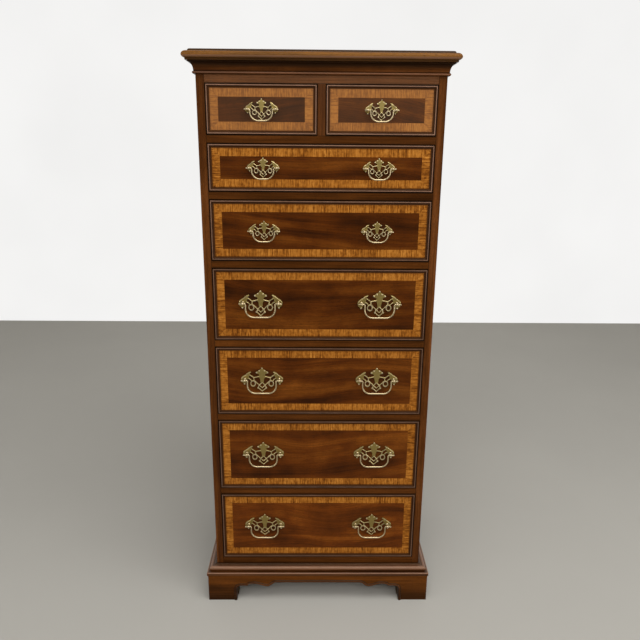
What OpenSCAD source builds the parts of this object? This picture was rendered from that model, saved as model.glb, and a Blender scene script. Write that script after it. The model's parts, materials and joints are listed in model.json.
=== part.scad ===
// Tall narrow chest of drawers: two short drawers over six long ones, on a bracket base.
// The origin is on the floor under the middle of the whole chest. +X is to the right,
// +Z is up, and the drawers face -Y.

/* [Case] */
// Width of the case between its outer side faces
case_w = 559; // [540:1:600]
// Depth of the case from its front plane to its back edge
case_d = 406; // [380:1:440]
// Thickness of the case sides, whose front edges show as stiles
side_t = 19; // [17:0.5:21]
// Thickness of the back panel
back_t = 6; // [4:0.5:9]
// Width of the rebate in each side that holds the back panel
back_lap = 9; // [6:0.5:12]
// How far the top slab and the base stand proud of the case at the front and sides
overhang = 25; // [24:0.5:28]
// Gap left between pieces that are glued or slotted together
joint_gap = 0.1; // [0.05:0.05:0.2]

/* [Top] */
// Thickness of the top slab
slab_t = 24; // [22:0.5:28]
// How far the foot of the slab's edge stands back from its tip
slab_step = 6.5; // [5:0.5:8]
// Height of the flat fillet at the foot of the slab's edge
slab_fillet_h = 4.3; // [3:0.1:6]
// Height of the tip over the slab's underside
slab_tip_h = 9.9; // [8:0.1:11]
// Width of the curve from the tip up to the small round
slab_curve_w = 11.9; // [9:0.1:14]
// Height of that curve
slab_curve_h = 9.5; // [8:0.1:10.5]
// Width of the small round between that curve and the flat top
slab_round_w = 6.3; // [4:0.1:8]
// Height of the cornice moulding under the slab
cornice_h = 27; // [24:0.5:34]
// Height of the bead at the foot of the cornice
cornice_bead_h = 6; // [5:0.5:8]
// How far the cornice stands out at the foot of its cove
cornice_foot = 3.5; // [3:0.5:6]
// How far the cornice stands out at the head of its cove
cornice_head = 14; // [12:0.5:18]
// Height of the flat band at the head of the cornice
cornice_band_h = 3; // [2:0.5:6]

/* [Rows] */
// Height of the openings in the top row, which holds the two short drawers
row_1_h = 110; // [100:1:125]
// Height of the opening in the second row
row_2_h = 108; // [100:1:125]
// Height of the opening in the third row
row_3_h = 144; // [130:1:160]
// Height of the openings in the fourth and fifth rows
row_45_h = 181; // [165:1:195]
// Height of the openings in the sixth and bottom rows
row_67_h = 196.5; // [180:0.5:210]
// Thickness of the rails and frames between the rows
rail_t = 18; // [16:0.5:22]
// Depth of each rail from front to back
rail_w = 60; // [50:1:75]
// Width of the mullion between the two short drawers
mullion_w = 18; // [16:0.5:22]
// Width of the runners at the sides
runner_w = 40; // [32:1:50]
// Width of the runner in the middle of the top row
middle_runner_w = 60; // [50:1:80]
// Height of the guide strip between the two short drawers
guide_h = 20; // [14:1:30]
// Thickness of the dust panels
dust_t = 6; // [4:0.5:8]
// Depth of the grooves that hold the dust panels
dust_groove = 7; // [5:0.5:9]

/* [Base] */
// Height of the bracket base under the case
base_h = 80; // [78:1:95]
// Thickness of the bracket boards
bracket_t = 22; // [20:0.5:24]
// How far the bracket boards sit back from the overhang line
bracket_setback = 2.5; // [0.5:0.25:3.5]
// Radius of the round on the top edge of the bracket boards
bracket_round = 3; // [2:0.5:4]
// Height of the base moulding over the brackets
base_mould_h = 25; // [23:0.5:30]
// Height of the bottom rail that shows over the base moulding
bottom_reveal = 19; // [12:1:24]
// Width of each foot's face at the floor
foot_w = 78; // [72:1:86]
// Height of the apron's edge over the floor beside each foot
apron_side_h = 46; // [42:1:50]
// Height of the middle of the apron over the floor
apron_mid_h = 56.5; // [52:0.5:60]
// How far the apron's lobe hangs below the middle
apron_lobe = 12.5; // [9:0.5:15]
// How far in from each foot the lobes of the aprons hang
apron_lobe_in = 85; // [78:1:92]
// How far in from each foot the middle of each apron starts to fall
apron_mid_in = 109; // [102:1:116]
// Thickness of the frame that the case stands on
base_frame_t = 18; // [15:0.5:22]
// Width of the members of that frame
base_frame_w = 70; // [60:1:85]
// Thickness of the blocks inside the feet
foot_block_t = 22; // [18:1:26]
// How far the blocks reach past the feet towards the middle
foot_block_reach = 2; // [0.5:0.5:6]
// Size of the small glue blocks behind the apron
glue_block = 12; // [10:1:16]
// Length of the small glue blocks
glue_block_l = 60; // [40:1:80]

/* [Drawers] */
// Gap round each drawer front
drawer_gap = 1.5; // [1:0.25:2.5]
// Clearance under the drawer sides, over their runners
run_gap = 0.3; // [0.2:0.05:0.6]
// Thickness of the drawer fronts
front_t = 19; // [18:0.5:22]
// Thickness of the drawer sides and backs
drawer_side_t = 11; // [9:0.5:13]
// Thickness of the drawer bottoms
drawer_bottom_t = 6; // [4:0.5:8]
// Height of the drawer bottom over the lower edge of the sides
bottom_lift = 12; // [9:1:16]
// Depth of the grooves that hold the drawer bottom
bottom_groove = 5; // [3.5:0.5:6.5]
// How much lower than its opening each drawer side is
side_drop = 13; // [10:1:20]
// How much lower than the sides each drawer back is
back_drop = 6; // [0:1:12]
// Space left behind the drawers
rear_space = 14; // [10:1:30]
// How far the tails of the sides reach into the drawer front
tail_l = 13; // [10:0.5:15]
// Height of one dovetail and the gap to the next
tail_pitch = 30; // [24:1:40]
// Width of the moulding round each drawer front
bead_w = 8.5; // [7.5:0.5:10]
// Radius of the round bead on that moulding
bead_r = 2.25; // [2:0.25:2.75]
// How far the bead stands proud of the drawer front
bead_proud = 3.2; // [2.75:0.05:4]
// Depth of the rebate that holds the moulding
bead_seat = 5; // [4:0.5:7]
// Width of the crossbanding
band_w = 18.5; // [14:0.5:24]
// Thickness of the crossbanding
band_t = 1; // [0.8:0.1:1.5]

/* [Pulls] */
// Distance of each pull from the middle of a long drawer
pull_x = 145; // [125:1:165]
// Distance of each small pull from the middle of a long drawer
small_pull_x = 133.5; // [120:0.5:150]
// Height of the large pulls over the middle of their drawers
large_pull_rise = 5; // [0:0.5:10]
// Distance from the drawer front to the pivots of the bails
pivot_out = 12.5; // [11.5:0.25:14]
// Half the distance between the legs of a large bail
large_leg = 36; // [33:0.5:40]
// How far a large bail hangs below its pivots
large_drop = 34; // [32:0.5:40]
// Radius of the wire of a large bail
large_wire_r = 1.9; // [1.6:0.05:2.1]
// Radius of the bends at the foot of a large bail
large_bend_r = 20; // [16:0.5:24]
// Half the distance between the legs of a small bail
small_leg = 25; // [23:0.5:28]
// How far a small bail hangs below its pivots
small_drop = 24.5; // [23:0.5:28]
// Radius of the wire of a small bail
small_wire_r = 1.7; // [1.5:0.05:1.9]
// Radius of the bends at the foot of a small bail
small_bend_r = 18; // [14:0.5:20]
// Radius of the bend between each leg and its pivot pin
elbow_r = 3; // [2.5:0.25:3.5]
// Clearance round the pivot pins, on the radius
pin_gap = 0.07; // [0.03:0.01:0.1]
// How far the pins of a large bail run past their posts
large_pin_tail = 5.5; // [0.5:0.1:6]
// How far the pins of a small bail run past their posts
small_pin_tail = 3.8; // [0.5:0.1:5]
// Radius of the round heads of a large pull's posts
large_head_r = 3.8; // [3.5:0.1:4.6]
// Radius of the round heads of a small pull's posts
small_head_r = 3.1; // [3:0.1:4]
// Gap between the elbows of a bail and the heads of its posts
head_gap = 0.5; // [0.3:0.1:1.2]
// Thickness of the pierced backplates
plate_t = 1.8; // [1.2:0.1:2.4]
// Width of the bars in a large backplate
plate_bar = 3; // [2.4:0.1:3.4]
// How far the middle of a large backplate lies below its posts
large_plate_drop = 4; // [2:0.25:5]
// How far the middle of a small backplate lies below its posts
small_plate_drop = 1.2; // [0:0.1:2]
// Radius of the screw stems of the posts
stem_r = 2; // [1.75:0.25:2.25]
// Clearance round the screw stems, on the radius
stem_gap = 0.2; // [0.1:0.05:0.4]
// Size across the square nuts
nut_w = 10; // [8:0.5:12]
// Thickness of the square nuts
nut_t = 4; // [3:0.5:5]

/* [Hidden] */
$fn = 64;
cut = 1;
front_y = -(case_d + overhang) / 2 + overhang;
back_y = front_y + case_d;
half_w = case_w / 2;
inner_w = case_w - 2 * side_t;
half_in = inner_w / 2;
mitre_x = half_w - joint_gap;

row_heights = [row_67_h, row_67_h, row_45_h, row_45_h, row_3_h, row_2_h, row_1_h];
top_row = len(row_heights) - 1;
first_opening_z = base_h + base_mould_h + bottom_reveal;
function rows_below(i) = i == 0 ? 0 : rows_below(i - 1) + row_heights[i - 1];
function opening_z(i) = first_opening_z + rows_below(i) + i * rail_t;
top_frame_z = opening_z(top_row) + row_heights[top_row];
case_top_z = top_frame_z + rail_t + cornice_h;
cornice_z = case_top_z - cornice_h;
short_w = (inner_w - mullion_w) / 2;

frame_levels = [for (i = [0:top_row]) opening_z(i) - rail_t];
panel_y = back_y - back_t;
rail_back_y = front_y + rail_w;
rear_rail_y = panel_y - rail_w;
dust_lift = (rail_t - dust_t) / 2;

bracket_out = overhang - bracket_setback;
bracket_in = bracket_out - bracket_t;
base_frame_z = base_h - base_frame_t;
foot_in_x = half_w + bracket_out - foot_w;
side_mid_y = (front_y - bracket_out + back_y) / 2;
side_half = (case_d + bracket_out) / 2;

front_back_y = front_y + front_t;
drawer_rear_y = panel_y - rear_space;
// The backplates' outline is drawn for a bail whose legs stand this far to each side
drawn_leg = 36;

DRAWERS = ["top_left", "top_right", "second", "third", "fourth", "fifth", "sixth", "bottom"];
function row_of(d) = d < 2 ? top_row : len(DRAWERS) - 1 - d;
function width_of(d) = d < 2 ? short_w : inner_w;
function centre_of(d) = d == 0 ? -(short_w + mullion_w) / 2 : d == 1 ? (short_w + mullion_w) / 2 : 0;
function is_small(d) = row_of(d) > 3;
function pulls_of(d) = d < 2 ? [0] : is_small(d) ? [-small_pull_x, small_pull_x] : [-pull_x, pull_x];
function pull_z(d) = opening_z(row_of(d)) + row_heights[row_of(d)] / 2 + (is_small(d) ? 0 : large_pull_rise);
function front_w(d) = width_of(d) - 2 * drawer_gap;
function front_h(d) = row_heights[row_of(d)] - 2 * drawer_gap;
function side_h(d) = row_heights[row_of(d)] - side_drop;
function leg(small) = small ? small_leg : large_leg;
function head_r(small) = small ? small_head_r : large_head_r;
function wire_r(small) = small ? small_wire_r : large_wire_r;
function pin_tail(small) = small ? small_pin_tail : large_pin_tail;
function plate_drop(small) = small ? small_plate_drop : large_plate_drop;
function post_x(small) = leg(small) + elbow_r + head_gap + head_r(small);

BAILS = [
    for (d = [0:len(DRAWERS) - 1])
        for (x = pulls_of(d))
            [str(DRAWERS[d], x < 0 ? "_left" : x > 0 ? "_right" : "", "_bail"), d, x]
];

// Points of an arc, with angles in degrees
function arc(cx, cy, r, from, to, steps = 8) =
    [for (i = [0:steps]) let (a = from + (to - from) * i / steps) [cx + r * cos(a), cy + r * sin(a)]];

// Points of an arc of an oval, with its half width and half height
function oval(cx, cy, rx, ry, from, to, steps) =
    [for (i = [0:steps])
        let (a = from + (to - from) * i / steps)
        [cx + rx * cos(a), cy + ry * sin(a)]];

// Points of a smooth wave from one level to another
function wave(from, to, steps = 8) =
    [for (i = [0:steps])
        let (t = i / steps, lift = (1 - cos(180 * t)) / 2)
        [from[0] + (to[0] - from[0]) * t, from[1] + (to[1] - from[1]) * lift]];

// Mitred runs of a profile round the front and the sides of the case.
// The profile is drawn with X as the distance out from the case and Y as the height.
// The front run is a joint gap short of each mitre.
module front_run(reach) {
    intersection() {
        translate([half_w + reach, front_y, 0])
            rotate([90, 0, -90])
                linear_extrude(case_w + 2 * reach)
                    children();
        linear_extrude(case_top_z + slab_t)
            polygon([[-mitre_x, front_y], [mitre_x, front_y],
                     [mitre_x + reach, front_y - reach], [-mitre_x - reach, front_y - reach]]);
    }
}

module side_run(reach) {
    intersection() {
        translate([half_w, back_y, 0])
            rotate([90, 0, 0])
                linear_extrude(case_d + reach)
                    children();
        linear_extrude(case_top_z + slab_t)
            polygon([[half_w, front_y], [half_w, back_y],
                     [half_w + reach, back_y], [half_w + reach, front_y - reach]]);
    }
}

module wrap_run(reach) {
    front_run(reach) children();
    side_run(reach) children();
    mirror([1, 0, 0]) side_run(reach) children();
}

// Edge of the slab from its underside up: fillet, round to the tip, flatter curve and small round.
// X is measured from the overhang line inwards, so it is never positive.
function slab_edge() =
    let (
        under_h = slab_tip_h - slab_fillet_h,
        crease_z = slab_tip_h + slab_curve_h
    )
    concat(
        [[-slab_step, 0]],
        oval(-slab_step, slab_tip_h, slab_step, under_h, -90, 0, 8),
        oval(-slab_curve_w, slab_tip_h, slab_curve_w, slab_curve_h, 7.5, 90, 11),
        oval(-slab_curve_w - slab_round_w, crease_z, slab_round_w, slab_t - crease_z, 15, 90, 5)
    );

function mirrored(points) = [for (i = [len(points) - 1:-1:0]) [-points[i][0], points[i][1]]];
function shifted(points, dx) = [for (p = points) [p[0] + dx, p[1]]];

module top_slab() {
    reach_x = half_w + overhang;
    reach_y = overhang - front_y;
    edge = slab_edge();
    color("saddlebrown")
        translate([0, 0, case_top_z])
            intersection() {
                translate([0, back_y, 0])
                    rotate([90, 0, 0])
                        linear_extrude(case_d + overhang)
                            polygon(concat(shifted(edge, reach_x), mirrored(shifted(edge, reach_x))));
                translate([reach_x, 0, 0])
                    rotate([90, 0, -90])
                        linear_extrude(2 * reach_x)
                            polygon(concat(shifted(edge, reach_y), [[-back_y, slab_t], [-back_y, 0]]));
            }
}

module cornice_profile() {
    cove_z = cornice_bead_h + 0.5;
    cove_h = cornice_h - cornice_band_h - cove_z;
    cove_w = cornice_head - cornice_foot;
    polygon(concat(
        [[0, 0]],
        arc(cornice_foot - 0.5, cornice_bead_h / 2, cornice_bead_h / 2, -90, 90, 10),
        [for (i = [0:10])
            let (a = 90 * i / 10)
            [cornice_foot + cove_w * (1 - cos(a)), cove_z + cove_h * sin(a)]],
        [[cornice_head, cornice_h], [0, cornice_h]]
    ));
}

module cornice_moulding() {
    color("saddlebrown")
        wrap_run(cornice_head)
            translate([0, cornice_z])
                cornice_profile();
}

module right_side() {
    color("sienna")
        difference() {
            translate([half_in, front_y, base_h])
                cube([side_t, case_d, case_top_z - base_h]);
            translate([half_in - cut, panel_y, base_h - cut])
                cube([back_lap + cut, back_t + cut, case_top_z - base_h + 2 * cut]);
        }
}

module left_side() {
    mirror([1, 0, 0]) right_side();
}

module back_panel() {
    color("tan")
        translate([-half_in - back_lap, panel_y, base_h])
            cube([inner_w + 2 * back_lap, back_t, case_top_z - base_h]);
}

// Groove for a dust panel along one edge of a frame member that starts at the given height
module dust_slot(x, y, z, w, d) {
    translate([x, y, z + dust_lift])
        cube([w, d, dust_t]);
}

// Groove across the back of a front rail, as wide as its dust panels
module rail_groove(level) {
    inside = inner_w - 2 * runner_w + 2 * dust_groove;
    dust_slot(-inside / 2, rail_back_y - dust_groove, level, inside, dust_groove + cut);
}

module drawer_rails() {
    color("sienna") {
        difference() {
            translate([-half_in, front_y, base_h])
                cube([inner_w, rail_w, first_opening_z - base_h]);
            rail_groove(frame_levels[0]);
        }
        for (i = [1:top_row])
            difference() {
                translate([-half_in, front_y, frame_levels[i]])
                    cube([inner_w, rail_w, rail_t]);
                rail_groove(frame_levels[i]);
            }
        translate([-half_in, front_y, top_frame_z])
            cube([inner_w, rail_w, case_top_z - top_frame_z]);
    }
}

module centre_mullion() {
    color("sienna")
        translate([-mullion_w / 2, front_y, opening_z(top_row)])
            cube([mullion_w, rail_w, row_1_h]);
}

module side_runner(level, grooved) {
    run_l = rear_rail_y - rail_back_y - joint_gap;
    difference() {
        translate([half_in - runner_w, rail_back_y, level])
            cube([runner_w, run_l, rail_t]);
        if (grooved)
            dust_slot(half_in - runner_w - cut, rail_back_y - cut, level, dust_groove + cut, run_l + 2 * cut);
    }
}

module middle_runner(level, grooved) {
    run_l = rear_rail_y - rail_back_y - joint_gap;
    difference() {
        translate([-middle_runner_w / 2, rail_back_y, level])
            cube([middle_runner_w, run_l, rail_t]);
        if (grooved)
            for (side = [-1, 1])
                translate([side * (middle_runner_w / 2 - dust_groove / 2 + cut / 2), 0, 0])
                    dust_slot(-(dust_groove + cut) / 2, rail_back_y - cut, level,
                              dust_groove + cut, run_l + 2 * cut);
    }
}

module rear_rail(level, grooved, h) {
    inside = inner_w - 2 * runner_w + 2 * dust_groove;
    difference() {
        translate([-half_in, rear_rail_y, level])
            cube([inner_w, rail_w, h]);
        if (grooved)
            dust_slot(-inside / 2, rear_rail_y - cut, level, inside, dust_groove + cut);
    }
}

module drawer_runners() {
    color("burlywood") {
        for (level = frame_levels) {
            side_runner(level, true);
            mirror([1, 0, 0]) side_runner(level, true);
            rear_rail(level, true, rail_t);
        }
        middle_runner(frame_levels[top_row], true);
        side_runner(top_frame_z, false);
        mirror([1, 0, 0]) side_runner(top_frame_z, false);
        middle_runner(top_frame_z, false);
        rear_rail(top_frame_z, false, case_top_z - top_frame_z);
        translate([-mullion_w / 2, rail_back_y, opening_z(top_row) + joint_gap])
            cube([mullion_w, panel_y - rail_back_y, guide_h]);
    }
}

module dust_panels() {
    inside = inner_w - 2 * runner_w + 2 * dust_groove;
    panel_d = rear_rail_y - rail_back_y + 2 * dust_groove;
    half_inside = (inside - middle_runner_w + 2 * dust_groove) / 2;
    color("wheat") {
        for (i = [0:top_row - 1])
            dust_slot(-inside / 2, rail_back_y - dust_groove, frame_levels[i], inside, panel_d);
        for (side = [0, 1])
            mirror([side, 0, 0])
                dust_slot(middle_runner_w / 2 - dust_groove, rail_back_y - dust_groove,
                          frame_levels[top_row], half_inside, panel_d);
    }
}

// Base moulding from its foot up: fillet, half-round, ledge, cove and a thin edge at the case
module base_profile() {
    fillet_h = 8.5;
    fillet_step = 6.5;
    round_r = 6.8;
    ledge_w = 5.2;
    cove_r = 2.4;
    round_x = overhang - fillet_step - round_r;
    round_top = fillet_h + 2 * round_r;
    cove_x = round_x - ledge_w;
    polygon(concat(
        [[0, 0], [overhang, 0], [overhang, fillet_h]],
        arc(round_x, fillet_h + round_r, round_r, -90, 90, 16),
        arc(cove_x, round_top + cove_r, cove_r, -90, -180, 6),
        [[cove_x - cove_r, base_mould_h], [0, base_mould_h]]
    ));
}

module base_moulding() {
    color("saddlebrown")
        wrap_run(overhang)
            translate([0, base_h])
                base_profile();
}

module base_frame() {
    frame_y = front_y - bracket_in;
    frame_end = back_y - bracket_t;
    outer = half_w + bracket_in;
    inner_d = frame_end - frame_y - 2 * (base_frame_w + joint_gap);
    color("burlywood")
        translate([0, 0, base_frame_z]) {
            for (y = [frame_y, frame_end - base_frame_w])
                translate([-outer, y, 0])
                    cube([2 * outer, base_frame_w, base_frame_t]);
            for (side = [0, 1])
                mirror([side, 0, 0])
                    translate([outer - base_frame_w, frame_y + base_frame_w + joint_gap, 0])
                        cube([base_frame_w, inner_d, base_frame_t]);
        }
}

// Half of the apron's cut-out, from the middle out to a foot whose inner edge is at edge_x
function apron_half(edge_x) =
    let (
        corner = 11,
        flat_in = edge_x - 28.5,
        crown_x = edge_x - 47,
        lobe_x = edge_x - apron_lobe_in,
        mid_x = edge_x - apron_mid_in,
        lobe_z = apron_mid_h - apron_lobe,
        crown_z = apron_mid_h - 4
    )
    concat(
        wave([mid_x, apron_mid_h], [lobe_x, lobe_z]),
        wave([lobe_x, lobe_z], [crown_x, crown_z]),
        [[crown_x + 12.5, crown_z - 1.5], [flat_in, apron_side_h]],
        arc(edge_x - corner, apron_side_h - corner, corner, 90, 0, 8),
        [[edge_x, -cut]]
    );

module apron_cut(edge_x) {
    half = apron_half(edge_x);
    polygon(concat(half, mirrored(half)));
}

// Section of a bracket board, with X as the distance out from the case and Y as the height
module bracket_profile() {
    polygon(concat(
        [[bracket_in, 0], [bracket_out, 0]],
        arc(bracket_out - bracket_round, base_h - bracket_round, bracket_round, 0, 90, 6),
        [[bracket_in, base_h]]
    ));
}

module bracket_front() {
    color("saddlebrown")
        difference() {
            intersection() {
                front_run(bracket_out) bracket_profile();
                translate([-half_w - overhang, front_y - bracket_out, 0])
                    cube([2 * (half_w + overhang), bracket_t, base_h]);
            }
            translate([0, front_y, 0])
                rotate([90, 0, 0])
                    linear_extrude(overhang + cut)
                        apron_cut(foot_in_x);
        }
}

module bracket_side() {
    difference() {
        side_run(bracket_out) bracket_profile();
        translate([half_w, side_mid_y, 0])
            rotate([90, 0, 90])
                linear_extrude(overhang + cut)
                    apron_cut(side_half - foot_w);
    }
}

module bracket_sides() {
    back_half = half_w + bracket_in - joint_gap;
    color("saddlebrown") {
        bracket_side();
        mirror([1, 0, 0]) bracket_side();
        translate([-back_half, back_y - bracket_t, apron_side_h])
            cube([2 * back_half, bracket_t, base_h - apron_side_h]);
    }
}

// Block in one foot, with its corner at the origin and its legs along +X and +Y
module foot_block() {
    leg_l = foot_w - bracket_t + foot_block_reach;
    linear_extrude(base_frame_z)
        polygon([[0, 0], [leg_l, 0], [leg_l, foot_block_t], [foot_block_t, foot_block_t],
                 [foot_block_t, leg_l], [0, leg_l]]);
}

module foot_blocks() {
    corner_x = half_w + bracket_in;
    front_in = front_y - bracket_in;
    apron_z = base_frame_z - glue_block;
    color("burlywood") {
        for (side = [0, 1])
            mirror([side, 0, 0]) {
                translate([-corner_x, front_in, 0])
                    foot_block();
                translate([-corner_x, back_y, 0])
                    mirror([0, 1, 0])
                        intersection() {
                            foot_block();
                            difference() {
                                cube([foot_w * 2, foot_w * 2, base_h]);
                                translate([-cut, -cut, apron_side_h])
                                    cube([foot_w * 2, bracket_t + cut, base_h]);
                            }
                        }
                translate([-corner_x, side_mid_y - glue_block_l / 2, apron_z])
                    cube([glue_block, glue_block_l, glue_block]);
            }
        for (x = [-1, 0, 1])
            translate([x * foot_in_x / 2 - glue_block_l / 2, front_in, apron_z])
                cube([glue_block_l, glue_block, glue_block]);
    }
}

// Puts a flat drawing of a drawer front at its place. X is to the right and Y is up from
// the lower edge of the front, and +Z comes forward from the front plane.
module on_front(d) {
    translate([centre_of(d), front_y, opening_z(row_of(d)) + drawer_gap])
        rotate([90, 0, 0])
            children();
}

// Four mitred strips inside a rectangle, as trapezoids of the given width
module strip_frame(w, h, strip_w, back, forward) {
    for (flip = [0, 1]) {
        translate([0, flip * h / 2, back])
            mirror([0, flip, 0])
                linear_extrude(forward - back)
                    polygon([[-w / 2 + joint_gap, -flip * h / 2], [w / 2 - joint_gap, -flip * h / 2],
                             [w / 2 - strip_w - joint_gap, strip_w - flip * h / 2],
                             [-w / 2 + strip_w + joint_gap, strip_w - flip * h / 2]]);
        translate([0, 0, back])
            mirror([flip, 0, 0])
                linear_extrude(forward - back)
                    polygon([[-w / 2, 0], [-w / 2 + strip_w, strip_w],
                             [-w / 2 + strip_w, h - strip_w], [-w / 2, h]]);
    }
}

// Section of the moulding round a drawer: X from its outer edge inwards, Y proud of the front
module bead_profile() {
    crown = bead_proud - bead_r;
    inner = bead_w - joint_gap;
    seat = -bead_seat + joint_gap;
    polygon(concat(
        [[inner, seat], [inner, 0]],
        [for (i = [1:7])
            let (t = i / 8)
            [inner - t * (inner - 2 * bead_r), t * crown - 0.9 * sin(180 * t)]],
        arc(bead_r, crown, bead_r, 0, 180, 12),
        [[0, seat]]
    ));
}

// One strip of the moulding, mitred at both ends, along +X with its outer edge on Y = 0.
// The trim takes a little off each end.
module bead_strip(l, trim) {
    intersection() {
        rotate([90, 0, 90])
            linear_extrude(l)
                bead_profile();
        translate([0, 0, -bead_seat])
            linear_extrude(bead_seat + bead_proud + cut)
                polygon([[trim, 0], [l - trim, 0], [l - bead_w - trim, bead_w], [bead_w + trim, bead_w]]);
    }
}

// Tails of one drawer side, drawn with X back from the front of the tails and Y up
module tail_shapes(d) {
    h = side_h(d);
    count = max(2, round(h / tail_pitch));
    pitch = h / count;
    wide = pitch * 0.36;
    narrow = pitch * 0.25;
    for (i = [0:count - 1])
        translate([0, pitch * (i + 0.5)])
            polygon([[0, -wide], [tail_l, -narrow], [tail_l, narrow], [0, wide]]);
}

// The tails as solids at the left end of a drawer
module side_tails(d) {
    translate([centre_of(d) - front_w(d) / 2, front_back_y - tail_l, opening_z(row_of(d)) + run_gap])
        rotate([90, 0, 90])
            linear_extrude(drawer_side_t)
                tail_shapes(d);
}

// A piece and its mirror image at the other end of a drawer
module both_ends(d) {
    translate([centre_of(d), 0, 0])
        for (side = [0, 1])
            mirror([side, 0, 0])
                translate([-centre_of(d), 0, 0])
                    children();
}

module drawer_front(d) {
    w = front_w(d);
    h = front_h(d);
    groove_z = opening_z(row_of(d)) + run_gap + bottom_lift - joint_gap;
    groove_h = drawer_bottom_t + 2 * joint_gap;
    small = is_small(d);
    color("maroon") {
        difference() {
            on_front(d)
                translate([-w / 2, 0, -front_t])
                    cube([w, h, front_t]);
            on_front(d)
                difference() {
                    translate([-w / 2 - cut, -cut, -bead_seat])
                        cube([w + 2 * cut, h + 2 * cut, bead_seat + cut]);
                    translate([-w / 2 + bead_w, bead_w, -bead_seat - cut])
                        cube([w - 2 * bead_w, h - 2 * bead_w, bead_seat + 3 * cut]);
                }
            on_front(d)
                difference() {
                    translate([-w / 2 + bead_w - cut, bead_w - cut, -band_t])
                        cube([w - 2 * bead_w + 2 * cut, h - 2 * bead_w + 2 * cut, band_t + cut]);
                    translate([-w / 2 + bead_w + band_w, bead_w + band_w, -band_t - cut])
                        cube([w - 2 * (bead_w + band_w), h - 2 * (bead_w + band_w), band_t + 3 * cut]);
                }
            both_ends(d)
                side_tails(d);
            translate([centre_of(d) - w / 2 + drawer_side_t - bottom_groove,
                       front_back_y - bottom_groove, groove_z])
                cube([w - 2 * (drawer_side_t - bottom_groove), bottom_groove + cut, groove_h]);
            for (x = pulls_of(d))
                for (side = [-1, 1])
                    translate([centre_of(d) + x + side * post_x(small), front_y - cut, pull_z(d)])
                        rotate([-90, 0, 0])
                            cylinder(r = stem_r + stem_gap, h = front_t + 2 * cut);
        }
        on_front(d) {
            for (flip = [0, 1])
                translate([0, flip * h, 0])
                    mirror([0, flip, 0])
                        translate([-w / 2, 0, 0])
                            bead_strip(w, joint_gap);
            for (flip = [0, 1])
                mirror([flip, 0, 0])
                    translate([-w / 2, h, 0])
                        rotate([0, 0, -90])
                            bead_strip(h, 0);
        }
    }
}

module drawer_banding(d) {
    w = front_w(d) - 2 * bead_w;
    h = front_h(d) - 2 * bead_w;
    color("goldenrod")
        on_front(d)
            translate([0, bead_w, 0])
                strip_frame(w, h, band_w, -band_t, 0);
}

module drawer_side(d) {
    x = centre_of(d) - front_w(d) / 2;
    z = opening_z(row_of(d)) + run_gap;
    difference() {
        union() {
            translate([x, front_back_y, z])
                cube([drawer_side_t, drawer_rear_y - front_back_y, side_h(d)]);
            side_tails(d);
        }
        translate([x + drawer_side_t - bottom_groove, front_back_y - tail_l - cut,
                   z + bottom_lift - joint_gap])
            cube([bottom_groove + cut, drawer_rear_y - front_back_y + tail_l + 2 * cut,
                  drawer_bottom_t + 2 * joint_gap]);
    }
}

module drawer_box(d) {
    w = front_w(d);
    z = opening_z(row_of(d)) + run_gap;
    back_w = w - 2 * (drawer_side_t + joint_gap);
    panel_w = w - 2 * (drawer_side_t - bottom_groove + joint_gap);
    panel_y0 = front_back_y - bottom_groove + joint_gap;
    panel_top = bottom_lift + drawer_bottom_t + joint_gap;
    color("burlywood") {
        both_ends(d)
            drawer_side(d);
        translate([centre_of(d) - back_w / 2, drawer_rear_y - drawer_side_t, z + panel_top])
            cube([back_w, drawer_side_t, side_h(d) - panel_top - back_drop]);
        translate([centre_of(d) - panel_w / 2, panel_y0, z + bottom_lift])
            cube([panel_w, drawer_rear_y - panel_y0, drawer_bottom_t]);
    }
}

// Points beside a path, at a given distance to its left and mitred at its bends
function beside(path, d) =
    let (last = len(path) - 1)
    [for (i = [0:last])
        let (
            before = path[max(i, 1)] - path[max(i, 1) - 1],
            after = path[min(i + 1, last)] - path[min(i, last - 1)],
            v = before / norm(before) + after / norm(after),
            n = [-v[1], v[0]]
        )
        path[i] + 2 * d * n / (n * n)];

// A bent bar of a backplate, square at its ends
module bent_bar(path, w) {
    right = beside(path, -w / 2);
    polygon(concat(beside(path, w / 2), [for (i = [len(path) - 1:-1:0]) right[i]]));
}

// A round knob on a backplate
module knob(x, z, r) {
    translate([x, z]) circle(r = r, $fn = 24);
}

// The middle of a backplate: a spearhead with knobs on its barbs, over a tapering body
module plate_body() {
    half = [[0, 34.8], [2.6, 31.2], [8.6, 27.2], [13.2, 24.2], [14.6, 20], [12, 18.6], [8.4, 17.8],
            [6.9, 14.4], [8.7, 12.2], [8.3, 8.6], [5.8, 6], [4.6, 1.6], [4.4, -3.1], [3.3, -6.5],
            [0, -8.2]];
    polygon(concat(half, mirrored(half)));
    knob(0, 33.2, 2.2);
}

// The wing of a backplate round its right-hand post, with its feathered upper edge
module plate_wing() {
    polygon([[27, 23.4], [29.6, 24.6], [33.2, 23.1], [38.4, 20.4], [39.5, 17.4], [44.6, 14.8],
             [49, 12], [52.2, 8.5], [53.2, 4.4], [53, 0.1], [51.4, -3.6], [47.5, -6.9],
             [41.3, -7.3], [39.8, -4], [38.4, 0.7], [35.6, 4.5], [33.4, 8.2], [32.3, 12],
             [31.1, 15.2], [32, 17.7], [30, 19.5]]);
    knob(44.4, -8.5, 2.2);
}

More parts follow.
